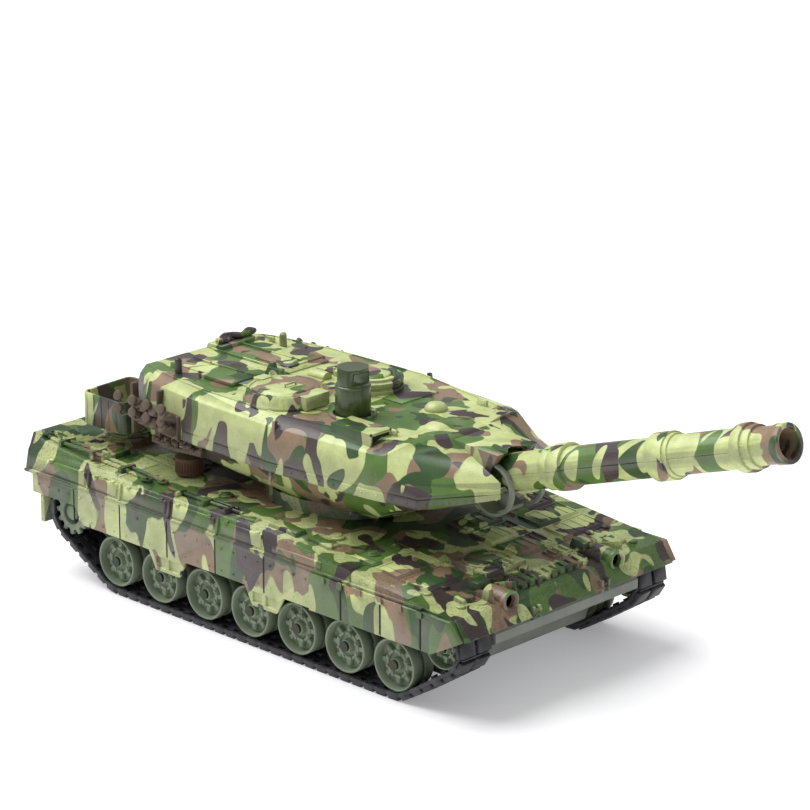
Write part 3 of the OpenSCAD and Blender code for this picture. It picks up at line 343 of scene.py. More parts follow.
class Shape:
    """A mesh under construction; every measure is in millimetres in the tank's own coordinates."""

    def __init__(self):
        self.bm = bmesh.new()

    def corners(self, points, faces):
        """Adds a solid from its corner points and faces."""
        made = [self.bm.verts.new(at(*p)) for p in points]
        for face in faces:
            self.bm.faces.new([made[k] for k in face])

    def box(self, low, high, turn=None, about=None):
        """A box between two corners, turned by a matrix about a point if given."""
        xs, ys, zs = zip(low, high)
        points = [Vector((x, y, z)) for z in zs for y in ys for x in xs]
        if turn is not None:
            pivot = Vector(about if about is not None else [(a + b) / 2 for a, b in zip(low, high)])
            points = [turn @ (p - pivot) + pivot for p in points]
        self.corners(points, BOX_FACES)

    def slab(self, x0, x1, y0, y1, low, high, taper):
        """A block drawn in by taper at its top; low and high are its heights at x0 and at x1."""
        base = [(x0, y0, low[0]), (x1, y0, low[1]), (x1, y1, low[1]), (x0, y1, low[0])]
        x0, x1, y0, y1 = x0 + taper, x1 - taper, y0 + taper, y1 - taper
        self.prism(base, [(x0, y0, high[0]), (x1, y0, high[1]), (x1, y1, high[1]), (x0, y1, high[0])])

    def prism(self, ring_a, ring_b):
        """A solid between two rings of the same number of points."""
        n = len(ring_a)
        faces = [tuple(range(n))[::-1], tuple(range(n, 2 * n))]
        faces += [(k, (k + 1) % n, n + (k + 1) % n, n + k) for k in range(n)]
        self.corners(list(ring_a) + list(ring_b), faces)

    def turned(self, base, axis, profile, segments=24):
        """A turned solid: profile is a list of (distance along axis, radius)."""
        axis = Vector(axis).normalized()
        side = axis.orthogonal().normalized()
        other = axis.cross(side)
        base = Vector(base)
        rings = []
        for along, radius in profile:
            ring = []
            for k in range(segments):
                a = math.tau * k / segments
                ring.append(base + axis * along + (side * math.cos(a) + other * math.sin(a)) * max(radius, 1e-3))
            rings.append([self.bm.verts.new(at(*p)) for p in ring])
        for low, high in zip(rings, rings[1:]):
            for k in range(segments):
                self.bm.faces.new((low[k], low[(k + 1) % segments], high[(k + 1) % segments], high[k]))
        self.bm.faces.new(rings[0][::-1])
        self.bm.faces.new(rings[-1])

    def rod(self, a, b, radius, segments=16):
        """A straight round bar from a to b."""
        a, b = Vector(a), Vector(b)
        self.turned(a, b - a, [(0, radius), ((b - a).length, radius)], segments)

    def tube(self, points, radius, segments=8):
        """A round bar that follows the points."""
        points = [Vector(p) for p in points]
        rings = []
        for k, p in enumerate(points):
            ahead = points[min(k + 1, len(points) - 1)] - points[max(k - 1, 0)]
            side = ahead.cross(UP)
            side = side.normalized() if side.length > 1e-6 else Vector((0, 1, 0))
            over = side.cross(ahead).normalized()
            ring = []
            for j in range(segments):
                a = math.tau * j / segments
                ring.append(self.bm.verts.new(at(*(p + (side * math.cos(a) + over * math.sin(a)) * radius))))
            rings.append(ring)
        for low, high in zip(rings, rings[1:]):
            for j in range(segments):
                self.bm.faces.new((low[j], low[(j + 1) % segments], high[(j + 1) % segments], high[j]))
        self.bm.faces.new(rings[0][::-1])
        self.bm.faces.new(rings[-1])

    def dome(self, base, axis, radius, height, segments=10):
        """A low rounded rivet head."""
        steps = 3
        profile = [(-0.2, radius)]
        for k in range(steps + 1):
            a = math.pi / 2 * k / steps
            profile.append((height * math.sin(a), radius * math.cos(a)))
        self.turned(base, axis, profile, segments)

    def piece(self, name, body, finish, slot, bevel_mm=0.0, angle=35, stands_for=()):
        """Closes the mesh into a named piece that rides on a body."""
        bmesh.ops.recalc_face_normals(self.bm, faces=self.bm.faces)
        return settle(self.bm, name, body, finish, bevel_mm, angle, stands_for)


def settle(bm, name, body, finish, bevel_mm, angle, stands_for):
    """Turns a bmesh into a piece with worked edges, its finish and its body."""
    mesh = bpy.data.meshes.new(name)
    bm.to_mesh(mesh)
    bm.free()
    piece = bpy.data.objects.new(name, mesh)
    bpy.context.scene.collection.objects.link(piece)
    if bevel_mm:
        worked = piece.modifiers.new("edges", "BEVEL")
        worked.width = bevel_mm * MM
        worked.segments = 2
        worked.limit_method = "ANGLE"
        worked.angle_limit = math.radians(angle)
        worked.use_clamp_overlap = False
        worked.harden_normals = True
        finished = piece.evaluated_get(bpy.context.evaluated_depsgraph_get())
        piece.data = bpy.data.meshes.new_from_object(finished)
        piece.modifiers.clear()
        piece.data.name = name
    piece.data.materials.clear()
    piece.data.materials.append(material(finish))
    piece.data.set_sharp_from_angle(angle=math.radians(38))
    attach(piece, body)
    if stands_for:
        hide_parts(*stands_for)
    return piece


def worked_copy(node, body, finish, bevel_mm, name=None, angle=35):
    """A copy of a CAD node's own mesh with its edges rounded, which stands for the node."""
    bm = bmesh.new()
    bm.from_mesh(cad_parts[node].data)
    bmesh.ops.remove_doubles(bm, verts=bm.verts, dist=1e-7)
    bmesh.ops.dissolve_limit(bm, angle_limit=math.radians(1), verts=bm.verts, edges=bm.edges)
    return settle(bm, name or f"{node}_skin", body, finish, bevel_mm, angle, (node,))


def finish_node(node, finish):
    """Gives a carried-over CAD node its material."""
    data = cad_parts[node].data
    data.materials.clear()
    data.materials.append(material(finish))


SURFACES = {}


def top_of(node, x, y):
    """Height of a node's upper surface at a place, in millimetres, or None beside it."""
    if node not in SURFACES:
        bm = bmesh.new()
        bm.from_mesh(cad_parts[node].data)
        SURFACES[node] = BVHTree.FromBMesh(bm)
        bm.free()
    hit = SURFACES[node].ray_cast(at(x, y, 400), -UP)
    return hit[0].z / MM if hit[0] is not None else None


# ---------- hull ----------


def build_hull_shells(sizes):
    """The upper hull, its skirts and the lower hull with worked edges."""
    worked_copy("hull_deck", "hull", "print_rough", sizes.edge)
    worked_copy("skirt_right", "hull", "print_smooth", sizes.edge * 0.8)
    worked_copy("skirt_left", "hull", "print_smooth", sizes.edge * 0.8)
    finish_node("hull_tub", "tub")
    finish_node("battery_door", "tub")


def on_deck(shape, x0, x1, y0, y1, height, sink=0.6, taper=0.0):
    """A flat-topped block that follows the slope of the deck under it."""
    ends = [top_of("hull_deck", x, (y0 + y1) / 2) for x in (x0, x1)]
    shape.slab(x0, x1, y0, y1, [z - sink for z in ends], [z + height for z in ends], taper)


def build_rear_deck(sizes):
    """Fan grilles, engine covers and louvres behind the turret."""
    shape = Shape()
    for side in (-1, 1):
        hub = (-111, side * 22)
        top = top_of("hull_deck", *hub)
        for radius in (11.2, 8.2, 5.2):
            shape.tube(circle(*hub, top + 0.35, radius, 36), 0.42, 6)
        for far in circle(*hub, top + 0.3, 11, 8)[:-1]:
            shape.tube([(*hub, top + 0.3), far], 0.4, 6)
        # louvres across the side covers
        for k in range(11):
            x = -126.5 + 3.1 * k
            top = top_of("hull_deck", x, side * 47)
            tilt = Matrix.Rotation(math.radians(28), 3, "Y")
            shape.box((x - 1.1, side * 47 - 6.6, top - 0.3), (x + 1.1, side * 47 + 6.6, top + 0.5), tilt)
    for k in range(9):
        on_deck(shape, -92 + 3.4 * k, -90.2 + 3.4 * k, -18, 18, 0.7)
    for side in (-1, 1):
        on_deck(shape, -94, -60, side * 30 - 7, side * 30 + 7, 1.0, taper=0.5)
        on_deck(shape, -90, -64, side * 30 - 4, side * 30 + 4, 1.7, taper=0.5)
    shape.piece("rear_deck_covers", "hull", "print_rough", SKIN, sizes.edge * 0.5)


def rope(points, radius, strands=6, twist_mm=5.0):
    """Centre lines of the strands of a twisted rope that follows the points."""
    lines = [[] for _ in range(strands)]
    run = 0.0
    for k, p in enumerate(points):
        after, before = points[min(k + 1, len(points) - 1)], points[max(k - 1, 0)]
        ahead = (Vector(after) - Vector(before)).normalized()
        side = ahead.cross(UP).normalized()
        over = side.cross(ahead)
        if k:
            run += (Vector(p) - Vector(points[k - 1])).length
        for j in range(strands):
            a = math.tau * (j / strands + run / twist_mm / strands)
            lines[j].append(Vector(p) + (side * math.cos(a) + over * math.sin(a)) * radius)
    return lines


def build_tow_cables(sizes):
    """Moulded tow cables along the edges of the deck, with their eyes and clamps."""
    shape = Shape()
    for side in (-1, 1):
        for y, x0, x1 in ((54.2, -130, -66), (50.6, -128, -60)):
            count = int((x1 - x0) / 1.2)
            points = []
            for k in range(count + 1):
                x = x0 + (x1 - x0) * k / count
                yy = side * (y + 0.6 * math.sin(k / 9))
                points.append((x, yy, top_of("hull_deck", x, yy) + 0.75))
            for line in rope(points, 0.55):
                shape.tube(line, 0.42, 5)
            for x in (x0, x1):
                top = top_of("hull_deck", x, side * y)
                shape.tube(circle(x, side * y, top + 0.8, 2.4, 14, 1.6), 0.6, 6)
        for x in (-118, -98, -80):
            on_deck(shape, x - 1.2, x + 1.2, side * 52.4 - 4.4, side * 52.4 + 4.4, 2.0, taper=0.4)
    shape.piece("tow_cables", "hull", "print_rough", SKIN)


def build_deck_tools(sizes):
    """Shovel, bars, boxes and clamps moulded on the deck beside the turret."""
    shape = Shape()
    for side in (-1, 1):
        y = side * 54
        for x0, x1, r in ((-52, -8, 0.9), (-46, -14, 0.7)):
            yy = y if r > 0.8 else y - side * 3
            points = [(x, yy, top_of("hull_deck", x, yy) + r * 0.8) for x in (x0, (x0 + x1) / 2, x1)]
            shape.tube(points, r, 8)
        # blade of the shovel
        on_deck(shape, -8, 2, y - 3.4, y + 1.6, 0.9, taper=0.8)
        for x in (-44, -28, -15):
            on_deck(shape, x - 1, x + 1, y - 4.5, y + 1.8, 2.0, taper=0.3)
        # stowage boxes and filler caps on the sponsons
        on_deck(shape, 8, 24, side * 52 - 4, side * 52 + 3, 1.6, taper=0.6)
        on_deck(shape, 28, 41, side * 51 - 3, side * 51 + 4, 1.2, taper=0.5)
        for x in (-30, 34, 54):
            top = top_of("hull_deck", x, side * 43)
            cap = [(0, 3.2), (1.2, 3.2), (1.5, 2.9), (1.5, 2.2), (2.1, 2.0)]
            shape.turned((x, side * 43, top - 0.5), UP, cap, 20)
    shape.piece("deck_tools", "hull", "print_rough", SKIN, sizes.edge * 0.4)


def build_glacis(sizes):
    """Plates, slotted pads, spare links, blocks and lamp guards on the sloping bow."""
    # fields of thin anti-slip plates with raised borders
    shape = Shape()
    for y0, y1 in ((-52, -27), (2, 24), (30, 54)):
        for x0, x1 in ((50, 62), (63.5, 76), (77.5, 90)):
            on_deck(shape, x0, x1, y0, y1, 0.45, taper=0.3)
            for y in (y0 + 0.7, y1 - 0.7):
                on_deck(shape, x0 + 0.6, x1 - 0.6, y - 0.35, y + 0.35, 0.9)
            for k in range(4):
                y = y0 + (y1 - y0) * (k + 1) / 5
                on_deck(shape, x0 + 1.6, x1 - 1.6, y - 0.2, y + 0.2, 0.75)
            for x in (x0 + 0.9, x1 - 0.9):
                on_deck(shape, x - 0.25, x + 0.25, y0 + 1.4, y1 - 1.4, 0.75)
    shape.piece("glacis_plates", "hull", "print_smooth", SKIN, sizes.edge * 0.4)
    shape = Shape()
    # driver's hatch rim and its three periscopes
    hatch = (88, -14)
    top = top_of("hull_deck", *hatch)
    for k in range(3):
        a = math.radians(-34 + 34 * k)
        x, y = hatch[0] + 14.5 * math.cos(a), hatch[1] + 14.5 * math.sin(a)
        turn = Matrix.Rotation(a, 3, "Z")
        base = top_of("hull_deck", x, y)
        shape.box((x - 1.5, y - 3, base - 0.5), (x + 1.5, y + 3, base + 1.9), turn)
    shape.tube(circle(*hatch, top + 0.2, 9.6, 40), 0.55, 6)
    # slotted pads each side of the middle
    for y in (-20, 12):
        for k in range(2):
            x0 = 93 + k * 8.4
            on_deck(shape, x0, x0 + 7.2, y, y + 12, 0.8, taper=0.5)
            for j in range(3):
                on_deck(shape, x0 + 1.2, x0 + 6, y + 1.8 + 3.4 * j, y + 3.0 + 3.4 * j, 1.5)
    # row of spare track links between the lamps
    for k in range(9):
        y = -17.5 + 4.4 * k
        on_deck(shape, 103.6, 111.8, y - 1.7, y + 1.7, 2.1, taper=0.4)
        for x in (105, 110):
            top = top_of("hull_deck", x, y)
            shape.rod((x, y - 2.2, top + 1.5), (x, y + 2.2, top + 1.5), 0.75, 10)
    # guard fins beside the lamps and the blocks behind them
    for side in (-1, 1):
        for y in (side * 31 - 6.4, side * 31 + 6.4):
            base = top_of("hull_deck", 100, y)
            tip = top_of("hull_deck", 113.6, y)
            low = [(98, y - 0.5, base - 0.5), (113.8, y - 0.5, tip - 0.5), (112.6, y - 0.5, tip + 5.6)]
            shape.prism(low, [(p[0], y + 0.5, p[2]) for p in low])
        on_deck(shape, 95, 103, side * 31 - 4.6, side * 31 + 4.6, 3.2, taper=0.8)
        on_deck(shape, 100, 107, side * 44 - 4, side * 44 + 4, 1.5, taper=0.5)
        for x, y in ((92, 42), (92, 52), (108, 50)):
            top = top_of("hull_deck", x, side * y)
            shape.turned((x, side * y, top - 0.3), UP, [(0, 2), (0.9, 2), (1.2, 1.6)], 6)
    shape.piece("bow_fittings", "hull", "print_rough", SKIN, sizes.edge * 0.4)


def build_bow_plate(sizes):
    """Tow hooks and rivets on the nose of the hull."""
    shape = Shape()
    for side in (-1, 1):
        for k in range(7):
            y = side * (6 + 8.4 * k)
            place = (118.2, y, 37.4)
            shape.dome(place, (0.82, 0, 0.57), sizes.rivet, sizes.rivet * 0.55)
        # tow hook with its pin
        shape.box((117.2, side * 20 - 2.6, 33.6), (120.4, side * 20 - 1.2, 38.6))
        shape.box((117.2, side * 20 + 1.2, 33.6), (120.4, side * 20 + 2.6, 38.6))
        shape.rod((119.4, side * 20 - 3, 36.6), (119.4, side * 20 + 3, 36.6), 0.8, 10)
    shape.piece("nose_fittings", "hull", "print_rough", SKIN, sizes.edge * 0.3)


def build_sponson_hatches(sizes):
    """Raised lids, hinges and straps on the upright sides above the skirts."""
    shape = Shape()
    lean = 1.6 / 8.4
    base_z = 43.6
    edge_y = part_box("hull_deck")[1].y / MM - 0.4 - 0.6

    def wall(x0, x1, z0, z1, out, sink=0.5):
        """A lid that follows the leaning wall on both sides of the hull."""
        for side in (-1, 1):
            rings = []
            for draw, depth in ((0.0, -sink), (0.3, out)):
                a, b, c, d = x0 + draw, x1 - draw, z0 + draw, z1 - draw
                corners = ((a, c), (b, c), (b, d), (a, d))
                rings.append([(x, side * (edge_y - (z - base_z) * lean + depth), z) for x, z in corners])
            shape.prism(*rings)

    for x0, x1 in ((-122, -97), (-93, -77), (-73, -47), (-43, -18), (-14, 10)):
        wall(x0, x1, 44.6, 50.2, 0.35)
        for x in (x0 + 3, x1 - 3):
            wall(x - 1.2, x + 1.2, 49.2, 51.0, 0.8)
    wall(16, 44, 44.4, 47.6, 0.35)
    for x in (-95, -75, -45, -16):
        wall(x - 0.7, x + 0.7, 43.8, 51.2, 0.6)
    shape.piece("sponson_lids", "hull", "print_smooth", SKIN, sizes.edge * 0.3)


def build_skirt_rivets(sizes):
    """Rivet rows and clips of the side skirts, and dark strips painted as shadow in the seams between their
    panels.
    """
    shape = Shape()
    thin_y = 62.2
    heavy_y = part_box("skirt_left")[1].y / MM
    seams = [-103.3, -74.4, -45.4, -16.5, 12.0, 38.8]
    for side in (-1, 1):
        out = (0, side, 0)
        for x0, x1 in zip(seams, seams[1:]):
            for k in range(4):
                x = x0 + (x1 - x0) * (k + 0.5) / 4
                for z in (29.4, 38.6):
                    shape.dome((x, side * thin_y, z), out, sizes.rivet, sizes.rivet * 0.55)
        for k in range(4):
            shape.dome((-126 + 6.4 * k, side * thin_y, 38.6), out, sizes.rivet, sizes.rivet * 0.55)
        # spring clips that hold the heavy panels at their top edge
        for x in (47, 56.6, 67, 78.1, 89, 99.6):
            shape.box((x - 1.4, side * heavy_y - 0.9, 40.4), (x + 1.4, side * heavy_y + 0.2 * side, 43.2))
            shape.dome((x + 3.4, side * heavy_y - side * 0.02, 40.6), out, 0.5, 0.25)
    shape.piece("skirt_rivets", "hull", "print_smooth", SKIN)
    # thin dark strips painted as the shadow in the seams between the panels
    gap_shadows = Shape()
    half, proud = 0.32, 0.03
    for side in (-1, 1):
        light = [(x, thin_y, 26.6) for x in seams[:-1]]
        heavy = [(x, heavy_y, 27.6) for x in (56.6, 78.1, 99.6)]
        for x, face, z0 in light + heavy:
            y0, y1 = sorted((side * (face - 0.4), side * (face + proud)))
            gap_shadows.box((x - half, y0, z0), (x + half, y1, 42.0))
    gap_shadows.piece("skirt_gaps", "hull", "gap", SKIN)


def build_lamps(sizes):
    """Red chips and bright cups inside the clear lamps, and the rim of each housing."""
    chips, cups, rims = Shape(), Shape(), Shape()
    middle = centre("headlights")
    x = node_x(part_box("headlights")[0].x)
    z = middle.z / MM
    for side in (-1, 1):
        y = side * (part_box("headlights")[1].y / MM - 2.5)
        chips.turned((x + 4.4, y, z), (1, 0, 0), [(0, 2.0), (1.2, 1.9), (2.2, 1.5)], 20)
        cups.turned((x + 1.6, y, z), (1, 0, 0), [(0, 1.5), (1.2, 2.1)], 20)
        rim = [(0, 4.25), (2.3, 4.35), (2.5, 4.1), (2.5, 3.3), (1.6, 3.1), (0, 3.1)]
        rims.turned((x + 8.4, y, z), (1, 0, 0), rim, 28)
    chips.piece("lamp_chips", "hull", "chip", "lamp_clear")
    cups.piece("lamp_cups", "hull", "cup", "lamp_clear")
    rims.piece("lamp_rims", "hull", "print_smooth", SKIN, 0.1)
    finish_node("headlights", "lamp")


# ---------- running gear ----------


def belt_path(side_name, letter):
    """Inner face of a belt: its length, and a function from distance to place and outward angle."""
    gap = 0.3
    nodes = (f"road_wheel_{letter}7", f"road_wheel_{letter}1", f"idler_{side_name}", f"sprocket_{side_name}")
    rings = []
    for node in nodes:
        low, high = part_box(node)
        mid = (low + high) / 2
        rings.append((node_x(mid.x), mid.z / MM, (high.x - low.x) / 2 / MM + gap))

    def leaving(a, b):
        dx, dz = b[0] - a[0], b[1] - a[1]
        return math.atan2(dz, dx) - math.pi / 2 + math.asin((a[2] - b[2]) / math.hypot(dx, dz))

    legs = []
    for k, ring in enumerate(rings):
        start = leaving(rings[k - 1], ring)
        end = leaving(ring, rings[(k + 1) % 4])
        while end < start:
            end += math.tau
        legs.append(("arc", ring, start, end, ring[2] * (end - start)))
        after = rings[(k + 1) % 4]
        a = (ring[0] + ring[2] * math.cos(end), ring[1] + ring[2] * math.sin(end))
        b = (after[0] + after[2] * math.cos(end), after[1] + after[2] * math.sin(end))
        legs.append(("line", a, b, end, math.dist(a, b)))
    total = sum(leg[-1] for leg in legs)

    def place(distance):
        distance %= total
        for leg in legs:
            if distance <= leg[-1]:
                break
            distance -= leg[-1]
        if leg[0] == "arc":
            ring, angle = leg[1], leg[2] + distance / leg[1][2]
            return ring[0] + ring[2] * math.cos(angle), ring[1] + ring[2] * math.sin(angle), angle
        share = distance / leg[-1]
        a, b = leg[1], leg[2]
        return a[0] + (b[0] - a[0]) * share, a[1] + (b[1] - a[1]) * share, leg[3]

    return place, total


def build_tracks(sizes):
    """Belts of moulded links with pads, hinge bars, sprocket holes and guide teeth."""
    for side_name, letter, side in SIDES:
        place, total = belt_path(side_name, letter)
        low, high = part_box(f"track_{side_name}")
        inner, outer = sorted((abs(low.y), abs(high.y)))
        inner, outer = inner / MM, outer / MM
        width = outer - inner
        links = round(total / sizes.link_pitch)
        pitch = total / links
        shape = Shape()
        thick = 3.2

        def block(s0, s1, w0, w1, h0, h1, skew=0.0):
            """One block of a link: distance along the belt, across it, and out from its inner face."""
            points = []
            for h, shrink in ((h0, 0.0), (h1, skew)):
                for w in (w0 + shrink, w1 - shrink):
                    for s in (s0 + shrink, s1 - shrink):
                        x, z, angle = place(s)
                        points.append((x + h * math.cos(angle), side * (inner + w), z + h * math.sin(angle)))
            shape.corners(points, BOX_FACES)

        holes = ((4.6, 6.9), (13.2, 15.5))
        for k in range(links):
            s = k * pitch
            for w0, w1 in ((0, holes[0][0]), (holes[0][1], holes[1][0]), (holes[1][1], width)):
                block(s, s + pitch, w0, w1, 0, 1.5)
            block(s + 0.1, s + pitch * 0.5, 0.02, width - 0.02, 0.03, 1.47)
            # outer pads, two to a link, and the raised bar over the hinge
            block(s + 0.5, s + pitch - 0.9, 0.3, width * 0.46, 1.4, thick, 0.35)
            block(s + 0.5, s + pitch - 0.9, width * 0.54, width - 0.3, 1.4, thick, 0.35)
            block(s + pitch - 0.8, s + pitch + 0.3, 1.2, width - 1.2, 1.4, thick - 0.8, 0.2)
            # guide tooth that runs in the wheels' groove, and ribs on the inner face
            block(s + 1.4, s + pitch - 2.4, 9.5, 10.9, -1.3, 0.05)
            block(s + pitch * 0.12, s + pitch * 0.3, 1.2, 4.0, -0.35, 0.05)
            block(s + pitch * 0.12, s + pitch * 0.3, 15.9, width - 0.2, -0.25, 0.05)
        node = f"track_{side_name}"
        shape.piece(f"belt_{side_name}", "hull", "track", "track_rubber", 0.12, stands_for=(node,))


def build_wheels(sizes):
    """Road wheels and idlers with worked edges and bolt rings."""
    for side_name, letter, side in SIDES:
        rows = [(f"road_wheel_{letter}{k}", f"wheel_{letter}{k}") for k in range(1, WHEELS_PER_SIDE + 1)]
        rows.append((f"idler_{side_name}", f"idler_{side_name}"))
        for node, body in rows:
            worked_copy(node, body, "wheel", 0.14, angle=40)
            low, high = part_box(node)
            mid = centre(node)
            x, z = node_x(mid.x), mid.z / MM
            radius = (high.x - low.x) / 2 / MM
            face = max(abs(low.y), abs(high.y)) / MM
            depth = (high.y - low.y) / MM
            out = (0, side, 0)
            shape = Shape()
            thick, thin = radius * 0.055, radius * 0.04
            for place in bolt_places(x, side * (face - depth * 0.16), z, radius * 0.475, 8, 0.5):
                shape.turned(place, out, [(-0.2, thick), (0.5, thick), (0.62, thin)], 6)
            for place in bolt_places(x, side * (face - depth * 0.38), z, radius * 0.7, 16):
                shape.dome(place, out, thin, 0.35, 8)
            shape.piece(f"{node}_bolts", body, "wheel", "running_gear")


def build_sprockets(sizes):
    """Drive sprockets with worked teeth, bolts and their shafts and gears."""
    for side_name, _, side in SIDES:
        body = f"drive_{side_name}"
        worked_copy(f"sprocket_{side_name}", body, "wheel", 0.15, angle=40)
        mid = centre(f"sprocket_{side_name}")
        low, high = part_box(f"sprocket_{side_name}")
        face = max(abs(low.y), abs(high.y)) / MM
        shape = Shape()
        for place in bolt_places(node_x(mid.x), side * (face - 0.05), mid.z / MM, 5.9, 10):
            shape.dome(place, (0, side, 0), 0.5, 0.3, 8)
        shape.piece(f"sprocket_{side_name}_bolts", body, "wheel", "running_gear")
        finish_node(f"drive_shaft_{side_name}", "nylon")
        finish_node(f"reduction_gear_{side_name}", "nylon")
        finish_node(f"motor_pinion_{side_name}", "brass")


# ---------- turret ----------


def build_turret_shells(sizes):
    """Upper and lower turret shell and the cover over the gun root, with worked edges."""
    worked_copy("turret_shell", "turret", "print_smooth", sizes.edge)
    worked_copy("turret_base", "turret", "print_smooth", sizes.edge)
    worked_copy("mantlet_cover", "turret", "print_smooth", sizes.edge * 0.7)


def build_roof_fittings(sizes):
    """Periscopes, vents, bins, weld beads and bolts on the turret roof."""
    shape = Shape()
    base = ROOF_Z

    def block(x0, x1, y0, y1, height, taper=0.3, z=base):
        shape.slab(x0, x1, y0, y1, (z - 0.6, z - 0.6), (z + height, z + height), taper)

    # low plates that part the roof into its welded fields
    block(6, 24, 4, 26, 0.5)
    block(-34, -20, -10, 4, 0.6)
    block(-36, -22, 14, 30, 0.5)
    block(-62, -42, -28, -6, 0.7, z=93.2)
    block(-62, -42, 4, 26, 0.7, z=93.2)
    for x0, x1, y in ((-84, -40, 0), (-80, -44, 14), (-80, -44, -14)):
        shape.tube([(x0, y, 94.0), (x1, y, 94.0)], 0.4, 6)
    # bin and rolled tarpaulin at the rear edge
    block(-90, -80, 2, 24, 2.2, 0.6)
    for k in range(3):
        points = []
        for j in range(11):
            z = 95.6 + 0.5 * math.cos(j * 1.3 + k) + k * 0.3
            points.append((-86 + 1.5 * math.sin(j * 0.9 + k), 4 + 2.2 * j, z))
        shape.tube(points, 1.2, 8)
    # half-round box and ribbed knob beside the loader's hatch
    shape.rod((-31, 7, base + 0.4), (-21.5, 7, base + 0.4), 2.6, 20)
    knob = [(0, 3.0), (2.6, 3.0), (3.2, 2.4), (3.2, 1.6), (5.2, 1.4), (6.0, 0.8)]
    shape.turned((-22, 15, base - 0.4), UP, knob, 16)
    for x, y, z in circle(-22, 15, base, 2.6, 6)[:-1]:
        shape.rod((x, y, z), (x, y, z + 3.4), 0.6, 8)
    # wedge fin and the stub beside the sight's window
    fin = [(-44, base), (-36, base), (-38.5, base + 6.6), (-40.5, base + 6.6)]
    shape.prism([(x, -8, z) for x, z in fin], [(x, -6, z) for x, z in fin])
    shape.turned((38.2, 9.2, base), UP, [(0, 4.8), (1.2, 4.6), (2.6, 3.4), (3.2, 1.6)], 20)
    # weld beads along the roof edge
    for side in (-1, 1):
        edge = [(60, 28), (50, 30.8), (2, 39), (-50, 38), (-80, 34), (-90, 30.4)]
        points = []
        for (x0, y0), (x1, y1) in zip(edge, edge[1:]):
            for k in range(8):
                points.append((x0 + (x1 - x0) * k / 8, side * (y0 + (y1 - y0) * k / 8), base + 0.02))
        shape.tube(points, 0.45, 6)
        for x, y in ((56, 24), (44, 27), (30, 30), (12, 33), (-12, 34), (-36, 34), (-60, 32), (-76, 29)):
            shape.dome((x, side * y, base), UP, 0.7, 0.4)
    # frame of the gunner's sight window
    front = 47.5
    shape.box((front - 1, -38.0, 94.3), (front + 0.7, -26.4, 95.4))
    shape.box((front - 1, -38.0, 88.2), (front + 0.7, -26.4, 89.0))
    for y in (-38.0, -27.3):
        shape.box((front - 1, y, 88.2), (front + 0.7, y + 0.9, 95.4))
    shape.piece("roof_fittings", "turret", "print_smooth", SKIN, sizes.edge * 0.35)
    window = Shape()
    window.box((front - 0.5, -37.4, 88.8), (front + 0.06, -27.0, 94.6))
    window.piece("gunner_window", "turret", "black", "black_plastic")


CHEEK_LINE = ((93, 11.6), (74.5, 39.6), (51, 43.4), (1, 48), (-50, 46), (-80, 42), (-94, 36))


def cheek_y(x):
    """Half width of the turret along its flange, in millimetres."""
    for (x0, y0), (x1, y1) in zip(CHEEK_LINE, CHEEK_LINE[1:]):
        if x >= x1:
            return y0 + (y1 - y0) * (x0 - x) / (x0 - x1)
    return CHEEK_LINE[-1][1]


def build_cheek_fittings(sizes):
    """Rivets along the flange between the two shells, and the rear edge of the cheek armour."""
    shape = Shape()
    for side in (-1, 1):
        # rivets along the flange between the two shells
        for k in range(10):
            x = 92 - 1.7 * k
            shape.dome((x, side * cheek_y(x), 73.2), (0.83, side * 0.55, 0), 0.55, 0.3)
        for k in range(10):
            x = 70 - 7.2 * k
            shape.dome((x, side * cheek_y(x), 73.2), (0.08, side, 0), 0.55, 0.3)
        # edge of the cheek armour where it ends beside the turret's own wall
        corners = [(0.2, 66), (1.6, 66), (1.6, 91.6), (0.2, 91.6)]
        inner = [(x, side * y, z) for (x, z), y in zip(corners, (46.4, 46.6, 43.6, 43.4))]
        shape.prism(inner, [(x, side * y, z) for (x, z), y in zip(corners, (48.0, 48.0, 45.2, 45.2))])
    shape.piece("cheek_rivets", "turret", "print_smooth", SKIN)


def build_launchers(sizes):
    """Smoke discharger cups with caps and chains, and the rolls and hooks below them."""
    worked_copy("smoke_launchers", "turret", "stowage", 0.15)
    shape = Shape()
    rng = random.Random(7)
    out_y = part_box("smoke_launchers")[1].y / MM
    for side in (-1, 1):
        for k in range(4):
            for row in range(2):
                x = -82 + k * 8 + 1.6 * (k - 1.5) * 0.5
                z = 79.6 + row * 5.4
                place = (x - 1.6, side * (out_y - 1.4), z)
                cup = [(-1.8, 1.7), (-0.4, 1.7), (-0.3, 2.1), (0.4, 2.1), (0.6, 1.7)]
                shape.turned(place, (0.1, side, 0.35), cup, 16)
                near, far = side * (out_y - 3.2), side * (out_y - 2.2)
                shape.tube([(x - 3, near, z - 2), (x, far, z - 3), (x + 3, near, z - 2)], 0.5, 6)
        # lumpy row of rolls and shackles along the lower edge
        for k in range(13):
            x = -72 + 2.3 * k
            y = side * (43.2 + rng.uniform(-0.4, 0.5))
            z = 67.6 + rng.uniform(-0.6, 1.6)
            size = rng.uniform(1.0, 1.6)
            lean = (rng.uniform(-0.5, 0.5), rng.uniform(-0.4, 0.4), 1)
            roll = [(0, size * 0.6), (size * 0.6, size), (size * 1.5, size), (size * 2, size * 0.5)]
            shape.turned((x, y, z - size), lean, roll, 12)
            if k % 3 == 0:
                hook = [(0, 0.8), (2.4, 0.8), (3.0, 0.5)]
                shape.turned((x + 0.6, y, z + 1.2), (0.2, side * 0.2, 1), hook, 8)
        shape.tube([(-73, side * 43.6, 66.4), (-58, side * 44.0, 65.8), (-43, side * 43.8, 66.6)], 1.1, 8)
        # brackets and straps over the cups
        for x in (-86, -70, -54):
            shape.box((x - 0.8, side * 42 - 1.6, 66), (x + 0.8, side * 42 + 1.6, 88))
    shape.piece("side_stowage", "turret", "stowage", SKIN, 0.12)


